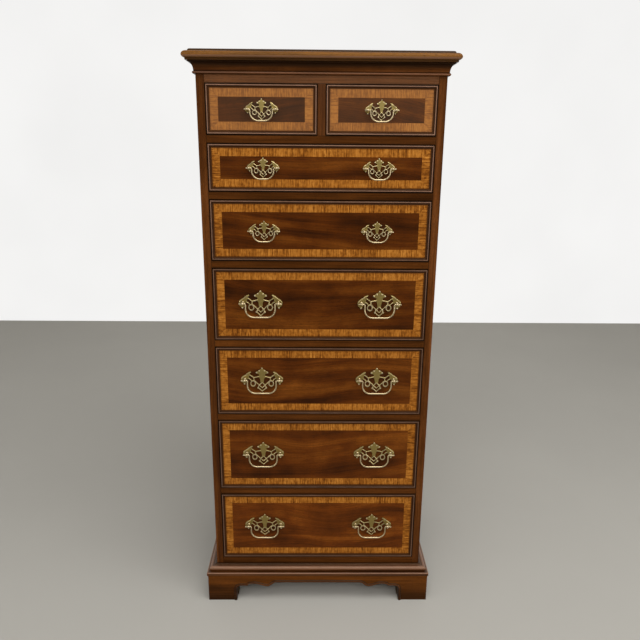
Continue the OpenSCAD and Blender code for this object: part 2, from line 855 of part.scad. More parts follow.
// What a backplate has on each side of its middle
module plate_half() {
    plate_wing();
    bent_bar([[6.3, 11.3], [13.1, 9.8], [20.8, 8.1], [25.7, 11.7], [31.9, 16.2]], plate_bar);
    bent_bar([[21.1, 7.3], [20.4, 0.7], [7.4, -12.2]], plate_bar);
    bent_bar([[26.5, -0.5], [30.6, 4.1], [35.5, 6.7]], plate_bar);
    knob(6.7, 26.3, 2.3);
    knob(13.5, 21.8, 2.5);
    knob(7.5, -12.3, 2.2);
    knob(10.1, -19.3, 2.6);
    translate([22.9, -7.6])
        scale([1, 1.22])
            difference() {
                circle(r = 7.4, $fn = 40);
                circle(r = 4.2, $fn = 24);
            }
}

// The diamond and the foot under the middle of a backplate
module plate_foot() {
    bent_bar([[-7.4, -12.2], [0, -4.6], [7.4, -12.2]], plate_bar);
    bent_bar([[-7.4, -12.2], [0, -19.4], [7.4, -12.2]], plate_bar);
    bent_bar([[-7.4, -12.2], [-10, -19.2], [0, -28.6], [10, -19.2], [7.4, -12.2]], plate_bar);
}

// A backplate, drawn flat round the middle between its posts
module plate_shape(small) {
    difference() {
        translate([0, -plate_drop(small)])
            scale(leg(small) / drawn_leg)
                union() {
                    plate_body();
                    plate_foot();
                    plate_half();
                    mirror([1, 0]) plate_half();
                }
        for (side = [-1, 1])
            translate([side * post_x(small), 0])
                circle(r = stem_r + stem_gap);
    }
}

// A post, drawn with +Z coming forward from the front plane of the drawer
module post(small) {
    r = head_r(small);
    difference() {
        union() {
            translate([0, 0, -front_t - nut_t - 2])
                cylinder(r = stem_r, h = front_t + nut_t + 2 + plate_t + 1);
            translate([0, 0, plate_t + joint_gap])
                cylinder(r = r * 0.9, h = 1.4);
            translate([0, 0, plate_t + joint_gap])
                cylinder(r = r * 0.68, h = pivot_out - plate_t);
            translate([0, 0, pivot_out])
                sphere(r = r);
        }
        translate([-r - cut, 0, pivot_out])
            rotate([0, 90, 0])
                cylinder(r = wire_r(small) + pin_gap, h = 2 * (r + cut));
    }
}

module nut() {
    translate([0, 0, -front_t - nut_t])
        linear_extrude(nut_t)
            difference() {
                square(nut_w, center = true);
                circle(r = stem_r + stem_gap / 2);
            }
}

module drawer_pulls(d) {
    small = is_small(d);
    color("darkkhaki")
        for (x = pulls_of(d))
            translate([centre_of(d) + x, front_y, pull_z(d)])
                rotate([90, 0, 0]) {
                    linear_extrude(plate_t)
                        plate_shape(small);
                    for (side = [-1, 1])
                        translate([side * post_x(small), 0, 0]) {
                            post(small);
                            nut();
                        }
                }
}

// Quarter of a ring of wire about a centre, from one angle on, drawn flat
module wire_bend(centre, r, wire, from) {
    translate(centre)
        rotate([0, 0, from])
            rotate_extrude(angle = 90)
                translate([r, 0])
                    circle(r = wire);
}

// A bail, drawn flat with X to the right, Y up and its pivots on Y = 0
module bail_wire(small) {
    l = leg(small);
    drop = small ? small_drop : large_drop;
    wire = wire_r(small);
    bend = small ? small_bend_r : large_bend_r;
    pin_l = post_x(small) + head_r(small) + pin_tail(small) - l - elbow_r;
    for (side = [0, 1])
        mirror([side, 0, 0]) {
            translate([l + elbow_r, 0, 0])
                rotate([0, 90, 0])
                    cylinder(r = wire, h = pin_l);
            wire_bend([l + elbow_r, -elbow_r, 0], elbow_r, wire, 90);
            translate([l, -elbow_r, 0])
                rotate([90, 0, 0])
                    cylinder(r = wire, h = drop - bend - elbow_r);
            wire_bend([l - bend, bend - drop, 0], bend, wire, -90);
        }
    translate([bend - l, -drop, 0])
        rotate([0, 90, 0])
            cylinder(r = wire, h = 2 * (l - bend));
}

module bail(b) {
    d = b[1];
    color("khaki")
        translate([centre_of(d) + b[2], front_y - pivot_out, pull_z(d)])
            rotate([90, 0, 0])
                bail_wire(is_small(d));
}

top_slab();
cornice_moulding();
left_side();
right_side();
back_panel();
drawer_rails();
centre_mullion();
drawer_runners();
dust_panels();
base_moulding();
base_frame();
bracket_front();
bracket_sides();
foot_blocks();
for (d = [0:len(DRAWERS) - 1]) {
    drawer_front(d);
    drawer_banding(d);
    drawer_box(d);
    drawer_pulls(d);
}
for (b = BAILS)
    bail(b);
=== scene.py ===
"""Tall narrow chest of drawers: crossbanded fronts, pierced brass pulls and a bracket base.

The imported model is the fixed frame. Each operator models one group of like pieces in it.
"""

import json
from math import cos, pi, radians, sin

import bmesh
import bpy
from mathutils import Matrix, Vector

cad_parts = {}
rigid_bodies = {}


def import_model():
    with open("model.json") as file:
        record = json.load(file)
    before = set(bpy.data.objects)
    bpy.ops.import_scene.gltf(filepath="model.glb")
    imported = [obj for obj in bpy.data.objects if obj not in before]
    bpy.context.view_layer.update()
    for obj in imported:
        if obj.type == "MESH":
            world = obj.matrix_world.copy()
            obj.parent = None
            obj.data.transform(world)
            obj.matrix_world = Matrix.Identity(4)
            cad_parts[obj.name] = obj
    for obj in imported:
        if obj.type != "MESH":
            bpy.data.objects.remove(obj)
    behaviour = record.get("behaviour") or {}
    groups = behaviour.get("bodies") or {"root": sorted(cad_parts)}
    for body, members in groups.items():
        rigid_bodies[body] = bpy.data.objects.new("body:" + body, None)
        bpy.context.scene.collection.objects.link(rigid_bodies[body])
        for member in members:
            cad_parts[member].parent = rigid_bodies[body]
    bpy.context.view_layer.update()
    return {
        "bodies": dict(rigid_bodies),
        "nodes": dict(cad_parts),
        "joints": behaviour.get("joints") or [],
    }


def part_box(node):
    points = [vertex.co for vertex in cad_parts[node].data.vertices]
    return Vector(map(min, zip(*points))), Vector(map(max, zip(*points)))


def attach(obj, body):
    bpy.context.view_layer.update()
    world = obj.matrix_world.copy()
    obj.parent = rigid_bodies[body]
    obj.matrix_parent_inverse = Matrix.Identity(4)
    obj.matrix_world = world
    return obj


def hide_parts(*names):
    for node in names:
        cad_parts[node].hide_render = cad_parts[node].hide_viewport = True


bl_info = {
    "name": "Tall Narrow Chest of Drawers",
    "version": (1, 0, 0),
    "blender": (4, 5, 0),
    "location": "3D View > Sidebar > Chest",
    "description": "Models a crossbanded chest of drawers with brass pulls in its packed frame",
    "category": "Object",
}

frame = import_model()
BODIES = list(frame["bodies"])
DRAWERS = [body[: -len("_drawer")] for body in BODIES if body.endswith("_drawer")]
BAILS = [body for body in BODIES if body.endswith("_bail")]
PIVOTS = {joint["child"]: Vector(joint["pos_m"]) for joint in frame["joints"] if "_swing" in joint["name"]}

MM = 0.001
CASE = "case"
HANDS = ((-1, "left"), (1, "right"))
SIDE_LOW, SIDE_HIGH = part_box("right_side")
INNER_X, HALF_W = SIDE_LOW.x, SIDE_HIGH.x
FRONT, BACK = SIDE_LOW.y, SIDE_HIGH.y
BASE_TOP, CASE_TOP = SIDE_LOW.z, SIDE_HIGH.z
PANEL_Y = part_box("back_panel")[0].y
# Faces that meet at less than this angle are shaded as one round
ROUND = radians(32)
# Rounding of the fine edges of the mouldings, of the rails and of the bracket boards
MOULDING_ARRIS, RAIL_ARRIS, BRACKET_ARRIS = 0.3 * MM, 0.35 * MM, 0.5 * MM
# Corners closer than this are one corner
SAME_CORNER = 0.001 * MM
# Heights between which the painted reflection on the top row of fronts grows, and its colours on field and
# banding
TOP_ROW = (1.225, 1.240)
FIELD_PAINTED_REFLECTION, BAND_PAINTED_REFLECTION = (0.075, 0.075, 0.055), (0.262, 0.119, 0.050)
# Painted light and shade: how much lighter or darker each front is painted than the main figure, by its row,
# where it differs
ROW_PAINTED_LIGHT = {"second": 0.88, "third": 0.88, "fourth": 0.84, "fifth": 0.93, "sixth": 1.08, "bottom": 1.38}
# Width of a foot, and the height of the back board's lower edge, in mm
FOOT, BACK_EDGE = 78, 46
# Radius of the bead along the aprons, and how far its middle lies behind the boards' faces
BEAD_RADIUS, BEAD_SUNK = 4 * MM, 1.6 * MM


# Sizes and colours that a user may change


def length(name, note, value):
    return bpy.props.FloatProperty(
        name=name, description=note, default=value, min=0, unit="LENGTH", subtype="DISTANCE", precision=5
    )


def colour(name, note, value):
    return bpy.props.FloatVectorProperty(
        name=name, description=note, default=value, min=0, max=1, size=3, subtype="COLOR"
    )


class ChestSizes(bpy.types.PropertyGroup):
    """Sizes of the details that are modelled round the frame"""

    arris: length("Arris", "Rounding of the boards' corners", 0.6 * MM)
    joint: length("Joint", "Gap at the mitres", 0.1 * MM)
    drawer_gap: length("Drawer Gap", "Gap round each drawer front", 1.5 * MM)
    bead_width: length("Bead Width", "Width of the moulding round each drawer", 8.5 * MM)
    bead_radius: length("Bead Radius", "Radius of that moulding's round bead", 2.25 * MM)
    bead_proud: length("Bead Height", "How far the bead stands proud of the front", 3.2 * MM)
    bead_seat: length("Bead Seat", "Depth of the rebate that holds the moulding", 4.9 * MM)
    band_width: length("Banding Width", "Width of the crossbanding", 18.5 * MM)
    band_thickness: length("Banding Thickness", "Thickness of the crossbanding", 1 * MM)
    plate_thickness: length("Plate Thickness", "Thickness of the backplates at their edges", 1.2 * MM)
    plate_relief: length("Plate Relief", "Height of the backplates' chamfers", 0.7 * MM)
    plate_bar: length("Plate Bar", "Width of the bars in a large backplate", 2.9 * MM)
    large_wire: length("Large Wire", "Radius of the wire of a large bail", 1.9 * MM)
    small_wire: length("Small Wire", "Radius of the wire of a small bail", 1.7 * MM)
    grip_swell: length("Grip Swell", "How much thicker each bail is at the middle of its grip", 0.3 * MM)


class ChestColours(bpy.types.PropertyGroup):
    """Colours of the woods, the brass and the room"""

    mahogany_dark: colour("Mahogany Dark", "Dark streaks of the case", (0.030, 0.0075, 0.0022))
    mahogany: colour("Mahogany", "Main colour of the case", (0.072, 0.0215, 0.0038))
    mahogany_light: colour("Mahogany Light", "Light streaks of the case", (0.150, 0.048, 0.0115))
    slab: colour("Top Slab", "Main colour of the top slab, faded golden", (0.103, 0.0395, 0.0054))
    rail: colour("Rails", "Main colour of the rails between the drawers", (0.064, 0.0190, 0.0030))
    # Painted light: the top rail is painted lighter than the case, standing for the light that falls on it
    frieze: colour("Frieze", "Main colour of the top rail", (0.115, 0.0400, 0.0120))
    bracket: colour("Brackets", "Main colour of the bracket boards", (0.098, 0.0290, 0.0040))
    figure_dark: colour("Figure Dark", "Dark figure of the drawer fronts", (0.028, 0.0068, 0.0012))
    figure: colour("Figure", "Main colour of the drawer fronts", (0.080, 0.0190, 0.0020))
    figure_light: colour("Figure Light", "Light figure of the drawer fronts", (0.160, 0.046, 0.0050))
    banding_dark: colour("Banding Dark", "Dark lines of the crossbanding", (0.078, 0.0200, 0.0026))
    banding: colour("Banding", "Main colour of the crossbanding", (0.275, 0.092, 0.0105))
    banding_light: colour("Banding Light", "Light lines of the crossbanding", (0.460, 0.185, 0.0300))
    # Painted highlight, with some wear, on the crests of beads and mouldings
    rubbed: colour("Rubbed Lacquer", "Worn crests of the beads", (0.225, 0.122, 0.078))
    # Dark glaze, which also stands in as painted shade in hollows, creases and under overhangs
    glaze: colour("Glaze", "Dark glaze in the mouldings' hollows", (0.014, 0.0050, 0.0016))
    brass: colour("Brass", "Flat faces of the pulls", (0.320, 0.238, 0.078))
    brass_rubbed: colour("Rubbed Brass", "Raised edges, knobs and bails of the pulls", (0.640, 0.530, 0.350))
    brass_dark: colour("Brass Patina", "Hollows and sides of the pulls", (0.060, 0.038, 0.013))
    inner_dark: colour("Inner Wood Dark", "Dark streaks of the drawer boxes", (0.270, 0.150, 0.068))
    inner_light: colour("Inner Wood Light", "Light streaks of the drawer boxes", (0.480, 0.310, 0.165))
    floor: colour("Floor", "Colour of the floor", (0.400, 0.385, 0.350))
    wall: colour("Wall", "Colour of the wall behind", (0.900, 0.895, 0.885))


# Shader recipes


class Value:
    """A shader socket that works in Python expressions: each operator adds one Math node"""

    def __init__(self, recipe, socket):
        self.recipe, self.socket = recipe, socket

    def maths(self, operation, *terms):
        """One Math node over these terms"""
        return self.recipe.add("Math", {"operation": operation}, terms)

    def __add__(self, other):
        return self.maths("ADD", self, other)

    __radd__ = __add__

    def __sub__(self, other):
        return self.maths("SUBTRACT", self, other)

    def __rsub__(self, other):
        return self.maths("SUBTRACT", other, self)

    def __mul__(self, other):
        return self.maths("MULTIPLY", self, other)

    __rmul__ = __mul__

    def __truediv__(self, other):
        return self.maths("DIVIDE", self, other)

    def __abs__(self):
        return self.maths("ABSOLUTE", self)

    def __gt__(self, other):
        return self.maths("GREATER_THAN", self, other)

    def least(self, other):
        """The smaller of the two values"""
        return self.maths("MINIMUM", self, other)

    def most(self, other):
        """The larger of the two values"""
        return self.maths("MAXIMUM", self, other)

    def rise(self, low, high):
        """0 below low and 1 above high, smooth between them, or the reverse if low is the higher"""
        settings = {"interpolation_type": "SMOOTHSTEP"}
        if low < high:
            return self.recipe.add("MapRange", settings, [self, low, high, 0.0, 1.0])
        return self.recipe.add("MapRange", settings, [self, high, low, 1.0, 0.0])


class Recipe:
    """A node material in the making"""

    def __init__(self, name):
        self.material = bpy.data.materials.new(name)
        self.material.use_nodes = True
        self.tree = self.material.node_tree
        self.tree.nodes.clear()

    def add(self, kind, settings=(), sockets=(), output=0):
        """Adds a node, with its settings and then its sockets, by name or in order, as values or links"""
        node = self.tree.nodes.new("ShaderNode" + kind)
        for name, value in dict(settings).items():
            if name == "stops":
                ramp = node.color_ramp.elements
                while len(ramp) < len(value):
                    ramp.new(1)
                for stop, (place, tone) in zip(ramp, value):
                    stop.position, stop.color = place, (*tone, 1)
            else:
                setattr(node, name, value)
        for key, value in sockets.items() if isinstance(sockets, dict) else enumerate(sockets):
            socket = node.inputs[key]
            if isinstance(value, Value):
                self.tree.links.new(value.socket, socket)
            elif socket.type == "RGBA":
                socket.default_value = (*value, 1)
            else:
                socket.default_value = value
        return Value(self, node.outputs[output] if node.outputs else None)

    def place(self):
        """The x, y and z of a point on the piece, in metres"""
        at = self.add("TexCoord", output="Object")
        parts = self.add("SeparateXYZ", (), [at]).socket.node
        return [Value(self, parts.outputs[axis]) for axis in "XYZ"]

    def noise(self, place, detail=2.0, roughness=0.5):
        """Noise at a place of three values, which carry its scale along each axis"""
        at = self.add("CombineXYZ", (), place)
        sockets = {"Vector": at, "Scale": 1.0, "Detail": detail, "Roughness": roughness}
        return self.add("TexNoise", (), sockets)

    def ramp(self, share, *stops):
        """A colour from stops, each a place and a tone"""
        return self.add("ValToRGB", {"stops": stops}, [share])

    def blend(self, share, first, second):
        """The first colour where the share is 0, and the second where it is 1"""
        return self.add("Mix", {"data_type": "RGBA"}, {0: share, 6: first, 7: second}, output=2)

    def shade(self, tone, by):
        """A colour made lighter or darker by a value"""
        return self.add("VectorMath", {"operation": "SCALE"}, {0: tone, "Scale": by})

    def bump(self, height, depth, strength):
        """Relief of a given depth, for the Normal socket"""
        return self.add("Bump", (), {"Strength": strength, "Distance": depth, "Height": height})

    def finish(self, **sockets):
        """Ends the material in a Principled shader with these sockets"""
        named = {name.replace("_", " "): value for name, value in sockets.items()}
        shader = self.add("BsdfPrincipled", (), named)
        self.add("OutputMaterial", (), {"Surface": shader})
        return self.material


def hue(name, share=1.0):
    """A colour of the chest as the user has set it, made lighter or darker by a share"""
    return tuple(c * share for c in getattr(bpy.context.scene.chest_colours, name))


def grain(x, y, z, run, seed=0.0):
    """The point's place along the grain, across it and into it"""
    along, across, into = {"X": (x, z, y), "Y": (y, z, x), "Z": (z, x, y)}[run]
    return along, across + seed, into + seed * 3.7


def wood(recipe, along, across, into, dark, main, light, streak=36.0, wave=0.035, figure=0.22):
    """The colour, the fibre and the open pores of a board, from its place in the grain and its tones"""
    drift = recipe.noise((along * 2.1, across * 4.0, into * 4.0), 1.5)
    bent = across + (drift - 0.5) * wave
    streaks = recipe.noise((along * 1.3, bent * streak, into * streak), 4.0, 0.6)
    ribbon = recipe.noise((along * 11.0, bent * 16.0, into * 16.0), 2.5, 0.6)
    fibre = recipe.noise((along * 7.0, bent * 340.0, into * 340.0), 3.0, 0.65)
    pores = recipe.noise((along * 120.0, bent * 2300.0, into * 2300.0), 0.0).rise(0.60, 0.72)
    share = streaks * (1 - figure) + ribbon * figure
    tone = recipe.ramp(share, (0.35, dark), (0.5, main), (0.65, light))
    tone = recipe.shade(tone, fibre * 1.3 + 0.35)
    tone = recipe.blend(pores * 0.55, tone, tuple(c * 0.4 for c in dark))
    return tone, fibre, pores


def lacquered(recipe, tone, fibre, pores, rough, sheen):
    """A satin lacquer over open-grained wood"""
    return recipe.finish(
        Base_Color=tone,
        Roughness=fibre * 0.08 + pores * 0.10 + rough,
        Specular_IOR_Level=sheen,
        Specular_Tint=(1.0, 0.80, 0.58),
        Normal=recipe.bump(fibre * 0.25 - pores, 0.08 * MM, 0.5),
    )


def case_wood(run, name, seed, sheen, hollow=None, worn=None, main=None):
    """Dark mahogany of the case with its grain along one axis, glazed with painted shade and lit with a
    painted highlight where two functions say
    """
    recipe = Recipe(name)
    x, y, z = recipe.place()
    if main:
        dark, middle, light = hue(main, 0.45), hue(main), hue(main, 1.6)
    else:
        dark, middle, light = hue("mahogany_dark"), hue("mahogany"), hue("mahogany_light")
    tone, fibre, pores = wood(recipe, *grain(x, y, z, run, seed), dark, middle, light)
    if hollow:
        # Glaze and painted shade where the hollow function says
        tone = recipe.blend(hollow(x, y, z), tone, hue("glaze"))
    if worn:
        # Painted highlight, with some wear, where the worn function says
        tone = recipe.blend(worn(x, y, z) * (fibre * 0.6 + 0.6), tone, hue("rubbed"))
    return lacquered(recipe, tone, fibre, pores, 0.24, sheen)


def figured_front(drawer):
    """Wavy figured mahogany of a drawer front, with dark wax and painted shadow round its pulls"""
    recipe = Recipe(f"figured_mahogany_{drawer}")
    x, y, z = recipe.place()
    number, share = DRAWERS.index(drawer), ROW_PAINTED_LIGHT.get(drawer, 1.0)
    along, across, into = grain(x, y, z, "X", 0.37 * number)
    # Each front's figure is painted lighter or darker for the light that falls on its row
    figures = [hue(name, share) for name in ("figure_dark", "figure", "figure_light")]
    places = (along + 0.91 * number, across, into)
    tone, fibre, pores = wood(recipe, *places, *figures, streak=24.0, wave=0.16, figure=0.38)
    wax_and_painted_shadow = None
    for bail in BAILS:
        if bail.startswith(drawer):
            low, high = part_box(bail)
            half, sunk = (high.x - low.x) / 2 - 4 * MM, PIVOTS[bail].z - 3 * MM
            away_x, away_z = (x - PIVOTS[bail].x) / half, (z - sunk) / (half * 0.66)
            near = (away_x * away_x + away_z * away_z).rise(1.1, 0.6)
            wax_and_painted_shadow = near if wax_and_painted_shadow is None else wax_and_painted_shadow.most(near)
    # Dark wax and painted shadow round and under the pulls
    tone = recipe.blend(wax_and_painted_shadow * 0.5, tone, hue("glaze"))
    # Painted reflection: the top row's field is blended toward a pale haze colour
    tone = recipe.blend(z.rise(*TOP_ROW) * 0.15, tone, FIELD_PAINTED_REFLECTION)
    return lacquered(recipe, tone, fibre, pores, 0.28, 0.10)


def crossband(run, name):
    """Golden veneer whose short grain runs across each strip"""
    recipe = Recipe(name)
    x, y, z = recipe.place()
    along, across = (z, x) if run == "Z" else (x, z)
    curl = recipe.noise((along * 120.0, across * 160.0, y), 2.0)
    wavy = across + curl * 0.0015
    lines = recipe.noise((along * 22.0, wavy * 700.0, y), 3.0, 0.7)
    broad = recipe.noise((along * 6.0, across * 30.0, y), 2.0)
    fibre = recipe.noise((along * 60.0, wavy * 1500.0, y), 1.0)
    share = lines * 0.62 + broad * 0.18 + curl * 0.20
    stops = ((0.40, hue("banding_dark")), (0.50, hue("banding")), (0.60, hue("banding_light")))
    tone = recipe.ramp(share, *stops)
    tone = recipe.shade(tone, fibre * 0.7 + 0.65)
    pores = recipe.noise((along * 130.0, across * 2600.0, y), 0.0).rise(0.6, 0.75)
    tone = recipe.blend(pores * 0.5, tone, hue("banding_dark"))
    inset = recipe.add("Attribute", {"attribute_name": "inset"}, output="Fac")
    # Glaze and painted shade along the strip's outer edge, beside the bead
    tone = recipe.blend(inset.rise(4.0 * MM, 0.0) * 0.45, tone, hue("banding_dark"))
    # Painted reflection: the top row's banding is blended toward a pale haze colour
    tone = recipe.blend(z.rise(*TOP_ROW) * 0.45, tone, BAND_PAINTED_REFLECTION)
    return lacquered(recipe, tone, fibre, pores, 0.28, 0.06)


def bead_wood():
    """Dark moulding round the drawers, with a painted highlight, partly wear, on the crest of its bead"""
    recipe = Recipe("bead_mahogany")
    x, y, z = recipe.place()
    out, proud = FRONT - y, bpy.context.scene.chest_sizes.bead_proud
    crest = out.rise(proud * 0.80, proud * 0.98)
    low = out.rise(proud * 0.45, proud * 0.10)
    wear = recipe.noise((x * 30.0, y * 30.0, z * 30.0), 3.0)
    fibre = recipe.noise((x * 60.0, y * 900.0, z * 60.0), 1.0)
    tone = recipe.blend(low * 0.5, hue("glaze"), hue("mahogany"))
    # The crest's painted highlight grows on the higher rows, as painted reflection
    rub = wear * 0.6 + z.rise(0.90, 1.25) * 0.35 + 0.2
    tone = recipe.blend(crest * rub, tone, hue("rubbed"))
    return lacquered(recipe, tone, fibre, (1 - crest) * 3.0, 0.20, 0.12)


def antique_brass():
    """Cast brass, rubbed pale on its faces, with brown patina on its sides and in its hollows"""
    sizes = bpy.context.scene.chest_sizes
    recipe = Recipe("antique_brass")
    x, y, z = recipe.place()
    out = FRONT - y
    cloud = recipe.noise((x * 140.0, y * 140.0, z * 140.0), 4.0, 0.6)
    grit = recipe.noise((x * 1500.0, y * 1500.0, z * 1500.0), 2.0)
    thick, relief = sizes.plate_thickness, sizes.plate_relief
    face = out.rise(thick * 0.6, thick * 1.1)
    crest = out.rise(thick + relief * 0.5, thick + relief)
    handled = 1 - out.rise(2.6 * MM, 3.4 * MM) * 0.4
    worn = crest * handled * (cloud * 0.6 + 0.7)
    tone = recipe.blend(face * (cloud * 0.5 + 0.75), hue("brass_dark"), hue("brass"))
    return recipe.finish(
        Base_Color=recipe.blend(worn, tone, hue("brass_rubbed")),
        Metallic=1.0,
        Roughness=0.40 - worn * 0.14 + grit * 0.08,
        Normal=recipe.bump(grit + cloud, 0.06 * MM, 0.4),
    )


def pale_wood(recipe, places, share, streak, rough):
    """Plain hardwood from its place along, across and into the grain, lighter or darker by a share"""
    light, dark = hue("inner_light", share), hue("inner_dark", share)
    main = tuple((a + b) / 2 for a, b in zip(light, dark))
    tone, fibre, pores = wood(recipe, *places, dark, main, light, streak=streak, figure=0.1)
    return lacquered(recipe, tone, fibre, pores, rough, 0.2)


def box_wood(drawer):
    """Pale sealed hardwood of a drawer's box. The sides' grain runs back, and the rest runs across"""
    # Half of the joint gap counts as part of the side
    side_thickness = 11.05 * MM
    low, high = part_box(drawer + "_box")
    middle, half = (low.x + high.x) / 2, (high.x - low.x) / 2
    recipe = Recipe(drawer + "_box_wood")
    x, y, z = recipe.place()
    side = abs(x - middle) > half - side_thickness
    along = y * side + x * (1 - side)
    across = z * side + (z + y) * (1 - side)
    into = x * side + (z - y) * (1 - side)
    return pale_wood(recipe, (along, across, into), 1.0, 24.0, 0.40)


def plain_wood(run, name, share):
    """Bare wood of the runners, frames, blocks and back, its grain along one axis"""
    recipe = Recipe(name)
    return pale_wood(recipe, grain(*recipe.place(), run), share, 22.0, 0.55)


# Modelling steps


def alone(piece=None):
    """Leaves edit mode and selects the piece and nothing else"""
    if bpy.context.mode != "OBJECT":
        bpy.ops.object.mode_set(mode="OBJECT")
    bpy.ops.object.select_all(action="DESELECT")
    if piece:
        bpy.context.view_layer.objects.active = piece
        piece.select_set(True)
    return piece


def edit(piece):
    """Opens the piece in edit mode with all of it selected"""
    alone(piece)
    bpy.ops.object.mode_set(mode="EDIT")
    bpy.ops.mesh.select_mode(type="VERT")
    bpy.ops.mesh.select_all(action="SELECT")


def pick(piece, what, test):
    """Selects the edges or faces in edit mode whose corners all pass a test on their place"""
    bpy.ops.mesh.select_mode(type={"edges": "EDGE", "faces": "FACE"}[what])
    bpy.ops.mesh.select_all(action="DESELECT")
    mesh = bmesh.from_edit_mesh(piece.data)
    for part in getattr(mesh, what):
        part.select_set(all(test(corner.co) for corner in part.verts))
    bmesh.update_edit_mesh(piece.data)


def named(name):
    """The new primitive under its own name, with its place in its mesh"""
    piece = bpy.context.object
    piece.name = piece.data.name = name
    bpy.ops.object.transform_apply(location=True, rotation=True, scale=True)
    return piece


def traced(name, path):
    """A line of edges in edit mode: one vertex is extruded from point to point"""
    alone()
    bpy.ops.mesh.primitive_plane_add(size=MM, location=path[0])
    piece = named(name)
    edit(piece)
    bpy.ops.mesh.merge(type="CENTER")
    for here, there in zip(path, path[1:]):
        step = Vector(there) - Vector(here)
        bpy.ops.mesh.extrude_vertices_move(TRANSFORM_OT_translate={"value": step})
    bpy.ops.mesh.select_all(action="SELECT")
    return piece


def drawn(name, outline):
    """A face in edit mode, drawn point by point and then filled"""
    piece = traced(name, outline + outline[:1])
    bpy.ops.mesh.remove_doubles(threshold=SAME_CORNER)
    bpy.ops.mesh.edge_face_add()
    return piece


def pulled(name, outline, step):
    """A bar or board: a drawn face extruded once"""
    piece = drawn(name, outline)
    bpy.ops.mesh.extrude_region_move(TRANSFORM_OT_translate={"value": step})
    outward()
    return alone(piece)


def outward():
    """Turns all faces of the piece in edit mode outwards"""
    bpy.ops.mesh.select_all(action="SELECT")
    bpy.ops.mesh.normals_make_consistent(inside=False)


def cut_off(piece, point, normal):
    """Cuts the piece at a plane, drops what lies beyond and closes the cut"""
    edit(piece)
    bpy.ops.mesh.bisect(plane_co=point, plane_no=normal, use_fill=True, clear_outer=True)
    outward()
    return alone(piece)


def modified(piece, kind, **settings):
    """Adds a modifier with these settings and applies it"""
    alone(piece)
    bpy.ops.object.modifier_add(type=kind)
    modifier = piece.modifiers[-1]
    for name, value in settings.items():
        setattr(modifier, name, value)
    bpy.ops.object.modifier_apply(modifier=modifier.name)
    return piece


def softened(piece, width, segments=2):
    """Rounds the sharp arrises"""
    settings = {"limit_method": "ANGLE", "angle_limit": radians(38), "miter_outer": "MITER_ARC"}
    return modified(piece, "BEVEL", width=width, segments=segments, **settings)


def smoothed(piece):
    """Shades the rounds smooth and keeps the flats flat"""
    alone(piece)
    bpy.ops.object.shade_smooth_by_angle(angle=ROUND)
    return modified(piece, "WEIGHTED_NORMAL", keep_sharp=True)


def fitted(piece, body, slot, material, *nodes):
    """Gives a finished piece its material and its body, and hides the nodes it stands for; the slot is not
    used
    """
    piece.data.materials.clear()
    piece.data.materials.append(material)
    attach(piece, body)
    if nodes:
        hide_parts(*nodes)
    return piece


def copied(piece, name, step):
    """A copy with a mesh of its own, moved by a step"""
    alone(piece)
    bpy.ops.object.duplicate()
    twin = bpy.context.object
    twin.name = twin.data.name = name
    bpy.ops.transform.translate(value=step)
    bpy.ops.object.transform_apply(location=True, rotation=False, scale=False)
    return twin


def bored(piece, radius, depth, place, turn):
    """Drills a round hole into a piece"""
    alone()
    size = {"radius": radius, "depth": depth}
    bpy.ops.mesh.primitive_cylinder_add(vertices=32, location=place, rotation=turn, **size)
    drill = named("drill")
    modified(piece, "BOOLEAN", operation="DIFFERENCE", object=drill, solver="EXACT")
    removed(drill)


def joined(name, pieces):
    """One piece made of several, under a new name"""
    alone(pieces[0])
    for piece in pieces:
        piece.select_set(True)
    bpy.ops.object.join()
    pieces[0].name = pieces[0].data.name = name
    return pieces[0]


def removed(piece):
    """Deletes a piece that was only a help"""
    alone(piece)
    bpy.ops.object.delete()


def painted(node, material):
    """Gives a CAD node its material"""
    for slot in frame["nodes"][node].material_slots:
        slot.material = material


def arc(middle, radius, start, end, steps):
    """Points of an arc in a section, in degrees"""
    return [
        (middle[0] + radius * cos(radians(a)), middle[1] + radius * sin(radians(a)))
        for a in (start + (end - start) * i / steps for i in range(steps + 1))
    ]


def oval(middle, wide, tall, start, end, steps):
    """Points of an arc of an oval in a section, in degrees"""
    return [(middle[0] + x * wide, middle[1] + y * tall) for x, y in arc((0, 0), 1, start, end, steps)]


def rectangle(first, last):
    """The four corners of a rectangle in order, from two that lie opposite each other"""
    return [first, (last[0], first[1]), last, (first[0], last[1])]


def mm(points):
    """Points given in millimetres, in metres"""
    return [(a * MM, b * MM) for a, b in points]


def front_box(drawer):
    """Lowest and highest corner of a drawer's front, with its moulding"""
    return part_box(drawer + "_front")


# Mouldings round the case


def run_front(name, section, base, reach):
    """A moulding's front run, mitred at both ends. The section goes out from the case and up"""
    start = HALF_W + reach + MM
    outline = [(-start, FRONT - out, base + up) for out, up in section]
    piece = pulled(name, outline, (2 * start, 0, 0))
    softened(piece, MOULDING_ARRIS)
    gap = bpy.context.scene.chest_sizes.joint
    for side in (1, -1):
        cut_off(piece, (side * (HALF_W - gap), FRONT, base), (side, 1, 0))
    return smoothed(piece)


def run_side(name, side, section, base, reach):
    """A moulding's side run, mitred at its front end"""
    outline = [(side * (HALF_W + out), BACK, base + up) for out, up in section]
    piece = pulled(name, outline, (0, FRONT - BACK - reach - MM, 0))
    softened(piece, MOULDING_ARRIS)
    cut_off(piece, (side * HALF_W, FRONT, base), (-side, -1, 0))
    return smoothed(piece)


def moulding(node, section, base, woods):
    """The three runs of a moulding, in place of a node, in a wood for the front and one for the sides"""
    reach = max(out for out, up in section)
    front = run_front(node + "_front", section, base, reach)
    sides = [run_side(f"{node}_{hand}", side, section, base, reach) for side, hand in HANDS]
    fitted(front, CASE, "case_mahogany", woods[0], node)
    for piece in sides:
        fitted(piece, CASE, "case_mahogany", woods[1], node)


